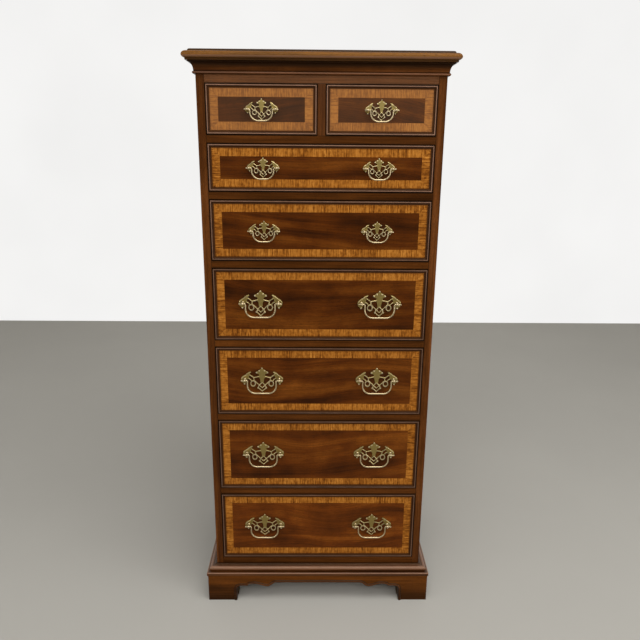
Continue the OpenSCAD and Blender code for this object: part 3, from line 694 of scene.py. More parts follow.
def slab_rings():
    """Offset from the overhang line and height of each corner in the slab's edge: a fillet set back by a
    step, a round out to the tip, a longer round back to the crease, and the top round"""
    step, fillet, tip, wide, tall, crown = 6.5, 4.3, 9.9, 11.9, 9.5, 6.3
    crease = tip + tall
    thick = (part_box("top_slab")[1].z - CASE_TOP) / MM
    under = oval((-step, tip), step, tip - fillet, -90, 0, 10)
    over = oval((-wide, tip), wide, tall, 6, 90, 14)
    top = oval((-wide - crown, crease), crown, thick - crease, 10, 90, 8)
    return mm([(-step, 0)] + under + over + top)


def cornice_section():
    """Section of the cornice: a bead at its foot, a cove, and a plain band under the slab"""
    bead, foot, head, band = 6.0, 3.5, 14.0, 3.0
    low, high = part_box("cornice_moulding")
    tall = (high.z - low.z) / MM
    start = bead + 0.5
    hollow = [
        (foot + (head - foot) * (1 - cos(a)), start + (tall - band - start) * sin(a))
        for a in (i * pi / 32 for i in range(17))
    ]
    lower = arc((foot - 0.5, bead / 2), bead / 2, -90, 90, 14)
    return mm([(0, 0)] + lower + hollow + [(head, tall), (0, tall)])


def base_section():
    """Section of the base moulding: a fillet, a half round on it, a shelf and a small cove"""
    fillet, step, large, shelf, small, reach = 8.5, 6.5, 6.8, 5.2, 2.4, 25.0
    centre = reach - step - large
    hollow = centre - shelf
    top = fillet + 2 * large
    tall = (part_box("base_moulding")[1].z - BASE_TOP) / MM
    return mm(
        [(0, 0), (reach, 0)]
        + arc((reach - 1, fillet - 1), 1, 0, 90, 4)
        + arc((centre, fillet + large), large, -90, 90, 24)
        + arc((hollow, top + small), small, -90, -180, 10)
        + [(hollow - small, tall), (0, tall)]
    )


class CHEST_OT_stage(bpy.types.Operator):
    """Adds the floor, the wall, the lamps and the camera"""

    bl_idname = "chest.stage"
    bl_label = "Stage"

    def execute(self, context):
        # The camera stands where the photograph was taken and looks a little down
        pitch, yaw, roll = radians(15.692), radians(0.705), radians(-0.467)
        ahead = Vector((sin(yaw) * cos(pitch), cos(yaw) * cos(pitch), -sin(pitch)))
        level = Vector((cos(yaw), -sin(yaw), 0))
        down = ahead.cross(level)
        right = cos(roll) * level + sin(roll) * down
        up = sin(roll) * level - cos(roll) * down
        alone()
        bpy.ops.object.camera_add(location=(-0.0172, -1.6142, 1.2045))
        camera = context.object
        camera.name = "camera"
        turn = Matrix((right, up, -ahead)).transposed()
        camera.rotation_euler = turn.to_euler()
        sensor, focal_pixels, picture_pixels = 36, 600, 640
        camera.data.sensor_width = sensor
        camera.data.lens = focal_pixels / picture_pixels * sensor
        camera.data.clip_start = 0.01
        context.scene.camera = camera

        bpy.ops.mesh.primitive_plane_add(size=14, location=(0, 1, 0))
        floor = named("floor")
        bpy.ops.mesh.primitive_plane_add(size=14, location=(0, 2.62, 6.9), rotation=(pi / 2, 0, 0))
        wall = named("wall")
        for piece, tone in ((floor, hue("floor")), (wall, hue("wall"))):
            recipe = Recipe(piece.name)
            x, y, z = recipe.place()
            cloud = recipe.noise((x * 1.3, y * 1.3, z * 1.3), 3.0)
            surface = recipe.shade(tone, cloud * 0.10 + 0.95)
            shader = recipe.add("BsdfDiffuse", (), {"Color": surface})
            if piece is wall:
                rays = recipe.add("LightPath").socket.node.outputs
                seen = Value(recipe, rays["Is Camera Ray"]).most(Value(recipe, rays["Is Glossy Ray"]))
                seen = seen.most(Value(recipe, rays["Is Transmission Ray"]))
                glow = recipe.add("Emission", (), {"Color": surface, "Strength": 1.0})
                shader = recipe.add("MixShader", (), [seen, shader, glow])
            recipe.add("OutputMaterial", (), {"Surface": shader})
            piece.data.materials.append(recipe.material)

        for name, place, aim, width, height, power in (
            ("overhead_lamp", (0.5, -1.2, 3.3), (0, -0.2, 0.5), 3.0, 1.4, 60),
            ("front_lamp", (0.3, -2.8, 2.5), (0, 0, 0.2), 3.0, 1.0, 34),
            ("right_lamp", (2.5, -2.1, 0.8), (0, 0, 0.3), 1.5, 1.2, 26),
            ("left_lamp", (-2.5, -2.1, 0.8), (0, 0, 0.3), 1.5, 1.2, 20),
        ):
            bpy.ops.object.light_add(type="AREA", location=place)
            lamp = context.object
            lamp.name = name
            lamp.data.shape, lamp.data.energy = "RECTANGLE", power
            lamp.data.size, lamp.data.size_y = width, height
            lamp.rotation_euler = (Vector(aim) - Vector(place)).to_track_quat("-Z", "Y").to_euler()

        # The room is bright above and dim below the eye's level
        world = bpy.data.worlds.new("studio")
        world.use_nodes = True
        nodes, links = world.node_tree.nodes, world.node_tree.links
        place, parts = nodes.new("ShaderNodeTexCoord"), nodes.new("ShaderNodeSeparateXYZ")
        level = nodes.new("ShaderNodeMapRange")
        level.interpolation_type = "SMOOTHSTEP"
        for name, value in (("From Min", -0.25), ("From Max", 0.9), ("To Min", 0.08), ("To Max", 0.55)):
            level.inputs[name].default_value = value
        links.new(place.outputs["Generated"], parts.inputs[0])
        links.new(parts.outputs["Z"], level.inputs["Value"])
        links.new(level.outputs[0], nodes["Background"].inputs["Strength"])
        nodes["Background"].inputs["Color"].default_value = (1.0, 0.985, 0.96, 1)
        context.scene.world = world
        context.scene.view_settings.view_transform = "Standard"
        return {"FINISHED"}


class CHEST_OT_top(bpy.types.Operator):
    """Models the moulded top slab and the cornice under it"""

    bl_idname = "chest.top"
    bl_label = "Top"

    def execute(self, context):
        low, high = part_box("top_slab")
        rings = slab_rings()
        depth = BACK - low.y
        alone()
        bpy.ops.mesh.primitive_plane_add(size=1, location=(0, (low.y + BACK) / 2, low.z))
        bpy.ops.transform.resize(value=(2 * high.x, depth, 1))
        slab = named("top_slab_board")
        edit(slab)
        reach, height = 0.0, 0.0
        for number, (out, up) in enumerate(rings):
            if number:
                bpy.ops.mesh.extrude_region_move(TRANSFORM_OT_translate={"value": (0, 0, up - height)})
            scale = ((high.x + out) / (high.x + reach), (depth + out) / (depth + reach), 1)
            bpy.ops.transform.resize(value=scale, center_override=(0, BACK, low.z + up))
            reach, height = out, up
        outward()
        softened(slab, MOULDING_ARRIS)
        smoothed(slab)

        def painted_ledge_shade(x, y, z):
            """Glaze and painted shade on the fillet, in the crease over the long curve and on the top round
            """
            up = z - low.z
            crease = abs(up - 20.2 * MM).rise(2.2 * MM, 1.0 * MM) * 0.8
            under = up.rise(4.8 * MM, 4.1 * MM) * 0.75
            top = up.rise(19.5 * MM, 21.0 * MM) * 0.75
            return crease.most(under).most(top) * up.rise(23.95 * MM, 23.7 * MM)

        def tip(x, y, z):
            """Painted highlight along the tip of the slab's edge"""
            up = z - low.z
            return up.rise(4.8 * MM, 6.0 * MM) * up.rise(10.5 * MM, 8.5 * MM) * 0.6

        golden = case_wood("X", "slab_mahogany", 0.31, 0.1, painted_ledge_shade, tip, "slab")
        fitted(slab, CASE, "case_mahogany", golden, "top_slab")

        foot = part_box("cornice_moulding")[0].z

        def cove_glaze_and_shade(x, y, z):
            """Glaze and painted shade in the cove, deepest at its top and where it meets the bead"""
            up = z - foot
            seam = abs(up - 6.8 * MM).rise(1.8 * MM, 0.3 * MM)
            head = up.rise(10.0 * MM, 22.0 * MM)
            return (seam * 0.85).most(head * 0.95).most(up.rise(1.2 * MM, 0.2 * MM) * 0.8)

        def bead(x, y, z):
            """Painted highlight on the round of the cornice's bead"""
            return abs(z - foot - 3.4 * MM).rise(2.0 * MM, 0.8 * MM) * 0.45

        woods = [case_wood(run, f"cornice_mahogany_{run.lower()}", 0.13, 0.09, cove_glaze_and_shade, bead) for run in "XY"]
        moulding("cornice_moulding", cornice_section(), foot, woods)
        return {"FINISHED"}


class CHEST_OT_case(bpy.types.Operator):
    """Models the case sides, the rails between the drawers and the mullion"""

    bl_idname = "chest.case"
    bl_label = "Case"

    def execute(self, context):
        sizes = context.scene.chest_sizes
        gap = sizes.drawer_gap
        fronts = [front_box(drawer) for drawer in DRAWERS]
        rows = sorted({(round(low.z - gap, 5), round(high.z + gap, 5)) for low, high in fronts})

        def painted_shadow_beside_drawers(x, y, z):
            """Painted shadow along the upright edges of the openings"""
            return abs(abs(x) - INNER_X).rise(2.6 * MM, 0.4 * MM) * 0.7

        def painted_shadow_round_drawers(x, y, z):
            """Painted shadow along the level edges of the openings"""
            edges = [abs(z - edge) for row in rows for edge in row]
            nearest = edges[0]
            for edge in edges[1:]:
                nearest = nearest.least(edge)
            return nearest.rise(2.4 * MM, 0.4 * MM) * 0.75

        upright = case_wood("Z", "stile_mahogany", 0.57, 0.08, painted_shadow_beside_drawers)
        level = case_wood("X", "rail_mahogany", 0.83, 0.08, painted_shadow_round_drawers, main="rail")
        # The top rail's wood is painted lighter, as painted light
        frieze = case_wood("X", "frieze_mahogany", 0.43, 0.25, painted_shadow_round_drawers, main="frieze")
        post = case_wood("Z", "mullion_mahogany", 0.21, 0.2)
        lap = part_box("back_panel")[1].x
        for side, hand in HANDS:
            outline = [
                (INNER_X, FRONT),
                (HALF_W, FRONT),
                (HALF_W, BACK),
                (lap, BACK),
                (lap, PANEL_Y),
                (INNER_X, PANEL_Y),
            ]
            corners = [(side * x, y, BASE_TOP) for x, y in outline]
            board = pulled(f"{hand}_side_board", corners, (0, 0, CASE_TOP - BASE_TOP))
            smoothed(softened(board, sizes.arris))
            fitted(board, CASE, "case_mahogany", upright, f"{hand}_side")

        # Each rail fills the height from one row's openings to the next
        edges = [BASE_TOP] + [edge for row in rows for edge in row] + [CASE_TOP]
        # The groove for the dust panel in a rail's back, measured down from its upper face
        back, groove, slot_top, slot_foot = FRONT + 60 * MM, 7 * MM, 6 * MM, 12 * MM
        names = ("bottom", "sixth", "fifth", "fourth", "third", "second", "first", "top")
        for name, low, high in zip(names, edges[::2], edges[1::2]):
            outline = [(FRONT, low), (FRONT, high), (back, high)]
            if name != "top":
                outline += rectangle((back, high - slot_top), (back - groove, high - slot_foot))
            outline.append((back, low))
            corners = [(-INNER_X, y, z) for y, z in outline]
            rail = pulled(name + "_rail", corners, (2 * INNER_X, 0, 0))
            smoothed(softened(rail, RAIL_ARRIS))
            fitted(rail, CASE, "case_mahogany", frieze if name == "top" else level, "drawer_rails")

        low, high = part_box("centre_mullion")
        corners = [(x, y, low.z) for x, y in rectangle((low.x, low.y), (high.x, high.y))]
        mullion = pulled("mullion_post", corners, (0, 0, high.z - low.z))
        smoothed(softened(mullion, RAIL_ARRIS))
        fitted(mullion, CASE, "case_mahogany", post, "centre_mullion")
        return {"FINISHED"}


def apron(foot):
    """Half of an apron's cut-out, from the middle out to a foot whose inner edge is given, in mm"""

    def wave(start, end):
        """Half a wave between two points, level at both"""
        return [
            (start[0] + (end[0] - start[0]) * t, start[1] + (end[1] - start[1]) * (1 - cos(pi * t)) / 2)
            for t in (i / 10 for i in range(11))
        ]

    middle, lobe, crown = (foot - 109, 56.5), (foot - 85, 44), (foot - 47, 52.5)
    half = wave(middle, lobe) + wave(lobe, crown)[1:]
    half += [(foot - 34.5, 51), (foot - 28.5, 46)] + arc((foot - 11, 35), 11, 90, 0, 10) + [(foot, 0)]
    return half


class CHEST_OT_base(bpy.types.Operator):
    """Models the base moulding and the bracket boards with their shaped aprons"""

    bl_idname = "chest.base"
    bl_label = "Base"

    def execute(self, context):
        def seam_glaze_and_shade(x, y, z):
            """Glaze and painted shade in the steps of the base moulding"""
            up = z - BASE_TOP
            reach = (FRONT - y).most(abs(x) - HALF_W)
            painted_ledge_shade = up.rise(13.0 * MM, 9.5 * MM) * up.rise(8.2 * MM, 8.5 * MM)
            shelf = up.rise(21.5 * MM, 22.0 * MM) * reach.rise(11.5 * MM, 10.0 * MM)
            head, foot = up.rise(22.8 * MM, 23.8 * MM), up.rise(0.9 * MM, 0.1 * MM)
            return (painted_ledge_shade * 0.5).most(shelf * 0.6).most(head * 0.9).most(foot * 0.6)

        def rubbed(x, y, z):
            """Painted highlight on the round and on the upper edge of the fillet"""
            up = z - BASE_TOP
            reach = (FRONT - y).most(abs(x) - HALF_W)
            crest = up.rise(15.5 * MM, 18.0 * MM) * reach.rise(10.0 * MM, 11.5 * MM)
            edge = up.rise(6.0 * MM, 7.2 * MM) * reach.rise(21.5 * MM, 23.0 * MM)
            return (crest * 0.65).most(edge)

        woods = [case_wood(run, f"plinth_mahogany_{run.lower()}", 0.27, 0.35, seam_glaze_and_shade, rubbed) for run in "XY"]
        moulding("base_moulding", base_section(), BASE_TOP, woods)

        gap = context.scene.chest_sizes.joint
        low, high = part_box("bracket_front")
        thick = high.y - low.y
        half = mm(apron(high.x / MM - FOOT))
        cutout = half[::-1] + [(-x, z) for x, z in half]
        edge = high.x + MM
        outline = [(-edge, 0), (-edge, BASE_TOP), (edge, BASE_TOP), (edge, 0)] + cutout
        front = pulled("bracket_board_front", [(x, low.y, z) for x, z in outline], (0, thick, 0))
        self.ease(front, lambda at: at.y < low.y + MM and at.z > BASE_TOP - MM)
        for side in (1, -1):
            cut_off(front, (side * (HALF_W - gap), FRONT, 0), (side, 1, 0))
        smoothed(front)

        def foot(x, y, z):
            """Darker low on the feet, and painted shadow under the base moulding"""
            seam = z.rise(BASE_TOP - 1.6 * MM, BASE_TOP - 0.4 * MM)
            return (z.rise(62 * MM, 10 * MM) * 0.8).most(seam * 0.6)

        woods = [
            case_wood(run, f"bracket_mahogany_{run.lower()}", 0.71, 0.08, foot, main="bracket")
            for run in "XY"
        ]
        fitted(front, CASE, "case_mahogany", woods[0], "bracket_front")

        def painted_shade_by_bead(x, y, z):
            """Painted shade in the crease beside the apron's bead, and darker all over it low on the feet"""
            proud = (low.y - y).most(abs(x) - high.x)
            return (proud.rise(2.2 * MM, 1.4 * MM) * 0.9).most(z.rise(42 * MM, 34 * MM) * 0.75)

        rounds = [case_wood(run, f"apron_bead_{run.lower()}", 0.71, 0.15, painted_shade_by_bead) for run in "XY"]
        path = [(x, low.y + BEAD_SUNK, z) for x, z in beside(cutout, -BEAD_RADIUS)]
        fitted(self.bead("apron_bead_front", path), CASE, "case_mahogany", rounds[0], "bracket_front")

        start = low.y - MM
        middle = (low.y + BACK) / 2
        half = mm(apron((BACK - low.y) / 2 / MM - FOOT))
        cutout = half[::-1] + [(-y, z) for y, z in half]
        outline = [(start, 0), (start, BASE_TOP), (BACK, BASE_TOP), (BACK, 0)]
        outline += [(middle + y, z) for y, z in cutout]
        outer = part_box("bracket_sides")[1].x
        for side, hand in HANDS:
            corners = [(side * outer, y, z) for y, z in outline]
            board = pulled(f"bracket_board_{hand}", corners, (-side * thick, 0, 0))
            self.ease(board, lambda at: side * at.x > outer - MM and at.z > BASE_TOP - MM)
            cut_off(board, (side * HALF_W, FRONT, 0), (-side, -1, 0))
            fitted(smoothed(board), CASE, "case_mahogany", woods[1], "bracket_sides")
            path = [(side * (outer - BEAD_SUNK), middle + y, z) for y, z in beside(cutout, -BEAD_RADIUS)]
            fitted(self.bead(f"apron_bead_{hand}", path), CASE, "case_mahogany", rounds[1], "bracket_sides")

        end = outer - thick - gap
        corners = [(x, BACK, z) for x, z in rectangle((-end, BACK_EDGE * MM), (end, BASE_TOP))]
        board = pulled("bracket_board_back", corners, (0, -thick, 0))
        fitted(smoothed(softened(board, BRACKET_ARRIS)), CASE, "case_mahogany", woods[0], "bracket_sides")
        return {"FINISHED"}

    def bead(self, name, path):
        """A round bead along a path, closed flat at the floor"""
        alone(traced(name, path))
        bpy.ops.object.convert(target="CURVE")
        curve = bpy.context.object.data
        curve.dimensions = "3D"
        curve.bevel_depth = BEAD_RADIUS
        curve.bevel_resolution = 5
        curve.use_fill_caps = True
        bpy.ops.object.convert(target="MESH")
        piece = bpy.context.object
        edit(piece)
        bpy.ops.mesh.remove_doubles(threshold=SAME_CORNER)
        outward()
        return smoothed(piece)

    def ease(self, board, top_edge):
        """Rounds a bracket board's upper edge, and softens the rest"""
        edit(board)
        pick(board, "edges", top_edge)
        bpy.ops.mesh.bevel(offset=3 * MM, segments=6, affect="EDGES", profile=0.5)
        alone(board)
        softened(board, BRACKET_ARRIS)


class CHEST_OT_fronts(bpy.types.Operator):
    """Models the drawer fronts: figured boards, mitred mouldings and crossbanding"""

    bl_idname = "chest.fronts"
    bl_label = "Drawer Fronts"

    def execute(self, context):
        dark = bead_wood()
        bands = {run: crossband(run, f"crossbanding_{run.lower()}") for run in "XZ"}
        for drawer in DRAWERS:
            body = drawer + "_drawer"
            fitted(self.board(drawer), body, "front_mahogany", figured_front(drawer), drawer + "_front")
            fitted(self.bead(context, drawer), body, "front_mahogany", dark, drawer + "_front")
            for run in "XZ":
                strips = self.strips(context, drawer, run)
                fitted(strips, body, "crossbanding", bands[run], drawer + "_banding")
        return {"FINISHED"}

    def board(self, drawer):
        """The board with its dovetail sockets and grooves, from the largest solid of its node"""
        name = drawer + "_board"
        board = bpy.data.objects.new(name, frame["nodes"][drawer + "_front"].data.copy())
        bpy.context.scene.collection.objects.link(board)
        edit(board)
        bpy.ops.mesh.remove_doubles(threshold=0.002 * MM)
        bpy.ops.mesh.separate(type="LOOSE")
        bpy.ops.object.mode_set(mode="OBJECT")
        parts = sorted(bpy.context.selected_objects, key=lambda part: part.dimensions.y, reverse=True)
        for part in parts[1:]:
            removed(part)
        board = parts[0]
        board.name = board.data.name = name
        alone(board)
        bpy.ops.object.shade_flat()
        return board

    def bead(self, context, drawer):
        """The moulding round a drawer: a rectangle extruded from corner to corner of its section"""
        sizes = context.scene.chest_sizes
        radius, proud, inner = sizes.bead_radius, sizes.bead_proud, sizes.bead_width - sizes.joint
        crown, dip = proud - radius, 0.9 * MM
        slope = [
            (inner - t * (inner - 2 * radius), t * crown - dip * sin(pi * t))
            for t in (i / 8 for i in range(1, 8))
        ]
        section = [(0, -sizes.bead_seat), (inner, -sizes.bead_seat), (inner, 0)] + slope
        section += arc((radius, crown), radius, 0, 180, 14)
        low, high = front_box(drawer)
        centre = (low + high) / 2
        half_x, half_z = high.x - centre.x, high.z - centre.z
        place = (centre.x, FRONT + sizes.bead_seat, centre.z)
        alone()
        bpy.ops.mesh.primitive_plane_add(size=1, location=place, rotation=(pi / 2, 0, 0))
        bpy.ops.transform.resize(value=(2 * half_x, 1, 2 * half_z))
        bead = named(drawer + "_bead")
        edit(bead)
        bpy.ops.mesh.delete(type="ONLY_FACE")
        bpy.ops.mesh.select_all(action="SELECT")
        before = section[0]
        for inset, height in section[1:] + section[:1]:
            bpy.ops.mesh.extrude_edges_move(TRANSFORM_OT_translate={"value": (0, before[1] - height, 0)})
            scale = ((half_x - inset) / (half_x - before[0]), 1, (half_z - inset) / (half_z - before[0]))
            bpy.ops.transform.resize(value=scale, center_override=(centre.x, FRONT - height, centre.z))
            before = (inset, height)
        bpy.ops.mesh.select_all(action="SELECT")
        bpy.ops.mesh.remove_doubles(threshold=0.005 * MM)
        outward()
        return smoothed(bead)

    def strips(self, context, drawer, run):
        """The two level or the two upright strips of a drawer's crossbanding, mitred"""
        sizes = context.scene.chest_sizes
        low, high = front_box(drawer)
        centre = (low + high) / 2
        half_x, half_z = high.x - centre.x - sizes.bead_width, high.z - centre.z - sizes.bead_width
        width, gap = sizes.band_width, sizes.joint
        pieces = []
        for side in (-1, 1):
            if run == "Z":
                corners = [
                    (gap - half_x, side * half_z),
                    (half_x - gap, side * half_z),
                    (half_x - width - gap, side * (half_z - width)),
                    (width + gap - half_x, side * (half_z - width)),
                ]
            else:
                corners = [
                    (side * half_x, -half_z),
                    (side * half_x, half_z),
                    (side * (half_x - width), half_z - width),
                    (side * (half_x - width), width - half_z),
                ]
            outline = [(centre.x + x, FRONT + sizes.band_thickness, centre.z + z) for x, z in corners]
            strip = pulled(f"{drawer}_strip", outline, (0, -sizes.band_thickness, 0))
            softened(strip, 0.12 * MM, 1)
            # How far each corner lies in from the strip's outer edge, along which the veneer is darker with
            # glaze and painted shade
            inset = strip.data.attributes.new("inset", "FLOAT", "POINT")
            for corner, value in zip(strip.data.vertices, inset.data):
                away = corner.co - centre
                value.value = half_z - abs(away.z) if run == "Z" else half_x - abs(away.x)
            pieces.append(strip)
        name = {"Z": "level", "X": "upright"}[run]
        return joined(f"{drawer}_banding_{name}", pieces)


# A large backplate in mm, from the middle between its posts, and a small one when scaled. All but the
# middle bars is drawn for one side only
BODY_OUTLINE = [
    (0, 34.8), (2.6, 31.2), (8.6, 27.2), (13.2, 24.2), (14.6, 20), (12, 18.6), (8.4, 17.8), (6.9, 14.4),
    (8.7, 12.2), (8.3, 8.6), (5.8, 6), (4.6, 1.6), (4.4, -3.1), (3.3, -6.5), (0, -8.2),
]
WING_OUTLINE = [
    (27, 23.4), (29.6, 24.6), (33.2, 23.1), (38.4, 20.4), (39.5, 17.4), (44.6, 14.8), (49, 12),
    (52.2, 8.5), (53.2, 4.4), (53, 0.1), (51.4, -3.6), (47.5, -6.9), (41.3, -7.3), (39.8, -4),
    (38.4, 0.7), (35.6, 4.5), (33.4, 8.2), (32.3, 12), (31.1, 15.2), (32, 17.7), (30, 19.5),
]
SIDE_BARS = [
    [(6.3, 11.3), (13.1, 9.8), (20.8, 8.1), (25.7, 11.7), (31.9, 16.2)],
    [(21.1, 7.3), (20.4, 0.7), (7.4, -12.2)],
    [(26.5, -0.5), (30.6, 4.1), (35.5, 6.7)],
]
MIDDLE_BARS = [
    [(-7.4, -12.2), (0, -4.6), (7.4, -12.2)],
    [(-7.4, -12.2), (0, -19.4), (7.4, -12.2)],
    [(-7.4, -12.2), (-10, -19.2), (0, -28.6), (10, -19.2), (7.4, -12.2)],
]
FEATHER = [(28.6, 22.6), (34, 20.2), (38.4, 17), (44, 12.6), (49.6, 8.2), (51.6, 4.6)]
# Place and radius of each knob
KNOBS = [
    (0, 33.2, 2.2), (6.7, 26.3, 2.3), (13.5, 21.8, 2.5),
    (7.5, -12.3, 2.2), (10.1, -19.3, 2.6), (44.4, -8.5, 2.2),
]
# Place, radius and half thickness of the ring, and how many times taller than wide it is
RING = (22.9, -7.6, 5.8, 1.6, 1.22)
# From the middle to a leg of the bail that goes with this plate
DRAWN_LEG = 36
# Radius of the bend between a bail's pin and its leg
ELBOW = 3.0


def beside(path, distance):
    """Points beside a path, to its left and mitred at its bends"""
    points = [Vector(p) for p in path]
    steps = [(b - a).normalized() for a, b in zip(points, points[1:])]
    shifted = []
    for point, before, after in zip(points, steps[:1] + steps, steps + steps[-1:]):
        way = before + after
        left = Vector((-way.y, way.x))
        shifted.append(tuple(point + left * (2 * distance / left.length_squared)))
    return shifted


def band_round(path, width):
    """The outline of a bar of a given width along a path"""
    return beside(path, width / 2) + beside(path, -width / 2)[::-1]


class CHEST_OT_pulls(bpy.types.Operator):
    """Models the pierced backplates, the posts with their nuts, and the bails"""

    bl_idname = "chest.pulls"
    bl_label = "Pulls"

    def execute(self, context):
        sizes = context.scene.chest_sizes
        brass = antique_brass()
        # From the middle to a leg, from the pin down to the grip, the radii of the lower bend, the post's
        # head and the wire, how far the pin shows past the head, and the plate's middle below the pin
        kinds = {
            "large": dict(leg=36, drop=34, bend=20, head=3.8, wire=sizes.large_wire, tail=5.5, sink=4.0),
            "small": dict(leg=25, drop=24.5, bend=18, head=3.1, wire=sizes.small_wire, tail=3.8, sink=1.2),
        }
        for kind in kinds.values():
            kind["wire"] /= MM
            kind["post"] = kind["leg"] + ELBOW + 0.5 + kind["head"]
            kind["share"] = kind["leg"] / DRAWN_LEG
        masters = {}
        for bail in BAILS:
            low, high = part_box(bail)
            size = "small" if high.x - low.x < 90 * MM else "large"
            pull = bail[: -len("_bail")]
            drawer = next(d for d in DRAWERS if bail.startswith(d))
            pivot = PIVOTS[bail]
            if size not in masters:
                kind = kinds[size]
                first = Vector((0, pivot.y, pivot.z))
                plate, posts = self.plate(sizes, kind, first), self.posts(kind, first)
                masters[size] = (first, [plate, posts, self.bail(sizes, kind, first)])
            first, originals = masters[size]
            plate, posts, handle = [
                copied(piece, pull + part, pivot - first)
                for piece, part in zip(originals, ("_plate", "_posts", "_handle"))
            ]
            fitted(plate, drawer + "_drawer", "antique_brass", brass, drawer + "_pulls")
            fitted(posts, drawer + "_drawer", "antique_brass", brass, drawer + "_pulls")
            fitted(handle, bail, "antique_brass", brass, bail)
        for _, originals in masters.values():
            for piece in originals:
                removed(piece)
        return {"FINISHED"}

    def plate(self, sizes, kind, pivot):
        """A cast backplate: a flat web with rounded bars, knobs and rings, run together into one skin"""
        share = kind["share"] * MM
        thick, relief = sizes.plate_thickness, sizes.plate_relief
        width = sizes.plate_bar / MM
        middle = pivot.z - kind["sink"] * MM
        sides = (1, -1)

        def at(x, z, out=0.0):
            """A point of the plate's drawing, at its place on the front"""
            return (x * share, FRONT - out, middle + z * share)

        def raised(outline, height, inset, rise):
            """A slab with the given outline whose front face is drawn in and raised"""
            part = pulled("plate_part", [at(x, z) for x, z in outline], (0, -height, 0))
            edit(part)
            pick(part, "faces", lambda corner: corner.y < FRONT - height / 2)
            bpy.ops.mesh.inset(thickness=inset * share, depth=rise)
            return alone(part)

        body = BODY_OUTLINE + [(-x, z) for x, z in BODY_OUTLINE[-2:0:-1]]
        parts = [raised(body, thick, 0.9, relief * 0.35)]
        for side in sides:
            parts.append(raised([(side * x, z) for x, z in WING_OUTLINE], thick, 0.9, relief * 0.2))
        paired = (*SIDE_BARS, FEATHER)
        paths = MIDDLE_BARS + [[(side * x, z) for x, z in path] for path in paired for side in sides]
        for path in paths:
            parts.append(raised(band_round(path, width), thick, 0.46 * width, relief))
        for side in sides:
            for x, z, radius in (knob for knob in KNOBS if side > 0 or knob[0]):
                size, lift = radius * share, 0.45 * radius * share
                place = at(side * x, z, lift)
                bpy.ops.mesh.primitive_uv_sphere_add(segments=20, ring_count=12, radius=size, location=place)
                knob = named("plate_part")
                edit(knob)
                squash = (thick + relief * 1.25 - lift) / size
                bpy.ops.transform.resize(value=(1, squash, 1), center_override=place)
                parts.append(alone(knob))
            x, z, radius, thin, tall = RING
            place = at(side * x, z, thin * share)
            bpy.ops.mesh.primitive_torus_add(
                major_radius=radius * share,
                minor_radius=thin * share,
                major_segments=40,
                minor_segments=12,
                location=place,
                rotation=(pi / 2, 0, 0),
            )
            ring = named("plate_part")
            edit(ring)
            squash = (thick + relief) / (2 * thin * share)
            bpy.ops.transform.resize(value=(1, squash, tall), center_override=(place[0], FRONT, place[2]))
            parts.append(alone(ring))
        plate = joined("plate_master", parts)
        modified(plate, "REMESH", mode="VOXEL", voxel_size=0.26 * MM, use_smooth_shade=True)
        modified(plate, "SMOOTH", factor=0.5, iterations=2)
        modified(plate, "DECIMATE", ratio=0.22)
        edit(plate)
        mesh = bmesh.from_edit_mesh(plate.data)
        for corner in mesh.verts:
            corner.select_set(corner.co.y > FRONT - 0.12 * MM)
        bpy.ops.transform.resize(value=(1, 0, 1), center_override=(0, FRONT, 0))
        alone(plate)
        bpy.ops.object.shade_smooth_by_angle(angle=radians(50))
        return plate

    def posts(self, kind, pivot):
        """Two turned posts, each with a ball head bored for the bail's pin, a screw stem and a nut"""
        head, out = kind["head"], (FRONT - pivot.y) / MM
        stem = [(0, -25), (1.6, -25), (2, -24.6), (2, 1.9)]
        collar = [(0.82, 1.9), (0.94, 2.3), (0.94, 2.9), (0.8, 3.4), (0.66, 4.0), (0.6, 6.0), (0.66, 8.0)]
        profile = stem + [(head * r, d) for r, d in collar]
        profile += [(head * cos(radians(a)), out + head * sin(radians(a))) for a in range(-40, 91, 8)]
        profile += [(0, out + head)]
        pieces = []
        for side in (-1, 1):
            x = pivot.x + side * kind["post"] * MM
            spun = [(x + r * MM, FRONT - d * MM, pivot.z) for r, d in profile]
            post = drawn("post", spun)
            bpy.ops.mesh.delete(type="ONLY_FACE")
            pick(post, "edges", lambda at: abs(at.x - x) < SAME_CORNER)
            bpy.ops.mesh.delete(type="EDGE")
            bpy.ops.mesh.select_all(action="SELECT")
            bpy.ops.mesh.spin(steps=32, angle=2 * pi, center=(x, FRONT, pivot.z), axis=(0, 1, 0))
            bpy.ops.mesh.select_all(action="SELECT")
            bpy.ops.mesh.remove_doubles(threshold=0.002 * MM)
            outward()
            play = 0.07
            bored(post, (kind["wire"] + play) * MM, 20 * MM, (x, pivot.y, pivot.z), (0, pi / 2, 0))
            square = [(x + a * MM, FRONT + 23 * MM, pivot.z + b * MM) for a, b in rectangle((-5, -5), (5, 5))]
            nut = pulled("nut", square, (0, -4 * MM, 0))
            softened(nut, 0.5 * MM)
            bored(nut, 2.1 * MM, 12 * MM, (x, FRONT + 21 * MM, pivot.z), (pi / 2, 0, 0))
            pieces += [post, nut]
        posts = joined("posts_master", pieces)
        bpy.ops.object.shade_smooth_by_angle(angle=ROUND)
        return posts

    def bail(self, sizes, kind, pivot):
        """A bail: a round section taken along its pin, elbow, leg, bend and grip, and mirrored"""
        leg, drop, bend, wire = kind["leg"], kind["drop"], kind["bend"], kind["wire"]
        end = kind["post"] + kind["head"] + kind["tail"]
        place = (pivot.x + end * MM, pivot.y, pivot.z)
        # The pin's end is tapered to this share of the wire's radius
        taper = 0.7
        alone()
        bpy.ops.mesh.primitive_circle_add(
            vertices=24, radius=wire * taper * MM, fill_type="NGON", location=place, rotation=(0, pi / 2, 0)
        )
        bail = named("bail_master")
        edit(bail)

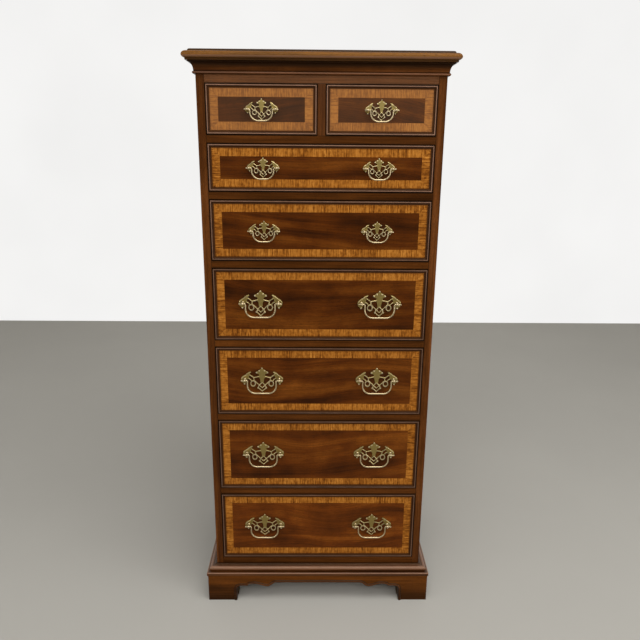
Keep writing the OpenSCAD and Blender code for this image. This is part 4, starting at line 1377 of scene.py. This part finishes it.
        def onward(x, z, grow=1.0):
            """Takes the section straight on, and lets it grow"""
            bpy.ops.mesh.extrude_region_move(TRANSFORM_OT_translate={"value": (x * MM, 0, z * MM)})
            if grow != 1.0:
                bpy.ops.transform.resize(value=(grow, grow, grow))

        def turned(x, z, steps, angle):
            """Takes the section round a bend"""
            centre = (pivot.x + x * MM, pivot.y, pivot.z + z * MM)
            bpy.ops.mesh.spin(steps=steps, angle=angle, center=centre, axis=(0, 1, 0))

        onward(-0.5, 0, 1 / taper)
        onward(leg + ELBOW - end + 0.5, 0)
        turned(leg + ELBOW, -ELBOW, 8, pi / 2)
        onward(0, -(drop - bend - ELBOW))
        turned(leg - bend, bend - drop, 16, -pi / 2)
        swell = 1 + sizes.grip_swell / MM / wire
        run = leg - bend
        for _ in range(4):
            onward(-run / 4, 0, swell**0.25)
        bpy.ops.mesh.delete(type="FACE")
        outward()
        modified(bail, "MIRROR")
        bpy.ops.object.shade_smooth_by_angle(angle=radians(50))
        return bail


class CHEST_OT_inside(bpy.types.Operator):
    """Gives the drawer boxes, the runners, the frames and the back their woods"""

    bl_idname = "chest.inside"
    bl_label = "Inside"

    def execute(self, context):
        for drawer in DRAWERS:
            painted(drawer + "_box", box_wood(drawer))
        for node, run, name, share in (
            ("drawer_runners", "Y", "runner_wood", 1.0),
            ("dust_panels", "X", "panel_wood", 0.9),
            ("base_frame", "X", "frame_wood", 0.8),
            # The foot blocks are painted nearly black, as painted shade behind the feet
            ("foot_blocks", "Z", "block_wood", 0.12),
            ("back_panel", "Z", "back_wood", 0.55),
        ):
            painted(node, plain_wood(run, name, share))
        return {"FINISHED"}


class CHEST_PT_panel(bpy.types.Panel):
    """The chest's operators, sizes and colours"""

    bl_label = "Chest of Drawers"
    bl_idname = "CHEST_PT_panel"
    bl_space_type = "VIEW_3D"
    bl_region_type = "UI"
    bl_category = "Chest"

    def draw(self, context):
        for operator in OPERATORS:
            self.layout.operator(operator.bl_idname)
        for group in (context.scene.chest_sizes, context.scene.chest_colours):
            box = self.layout.box()
            for name in group.__annotations__:
                box.prop(group, name)


OPERATORS = (
    CHEST_OT_stage,
    CHEST_OT_top,
    CHEST_OT_case,
    CHEST_OT_base,
    CHEST_OT_fronts,
    CHEST_OT_pulls,
    CHEST_OT_inside,
)
CLASSES = (ChestSizes, ChestColours, *OPERATORS, CHEST_PT_panel)


def register():
    for cls in CLASSES:
        bpy.utils.register_class(cls)
    bpy.types.Scene.chest_sizes = bpy.props.PointerProperty(type=ChestSizes)
    bpy.types.Scene.chest_colours = bpy.props.PointerProperty(type=ChestColours)


def unregister():
    del bpy.types.Scene.chest_colours
    del bpy.types.Scene.chest_sizes
    for cls in reversed(CLASSES):
        bpy.utils.unregister_class(cls)


def main():
    register()
    bpy.ops.chest.stage()
    bpy.ops.chest.top()
    bpy.ops.chest.case()
    bpy.ops.chest.base()
    bpy.ops.chest.fronts()
    bpy.ops.chest.pulls()
    bpy.ops.chest.inside()
    alone()
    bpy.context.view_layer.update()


if __name__ == "__main__":
    main()
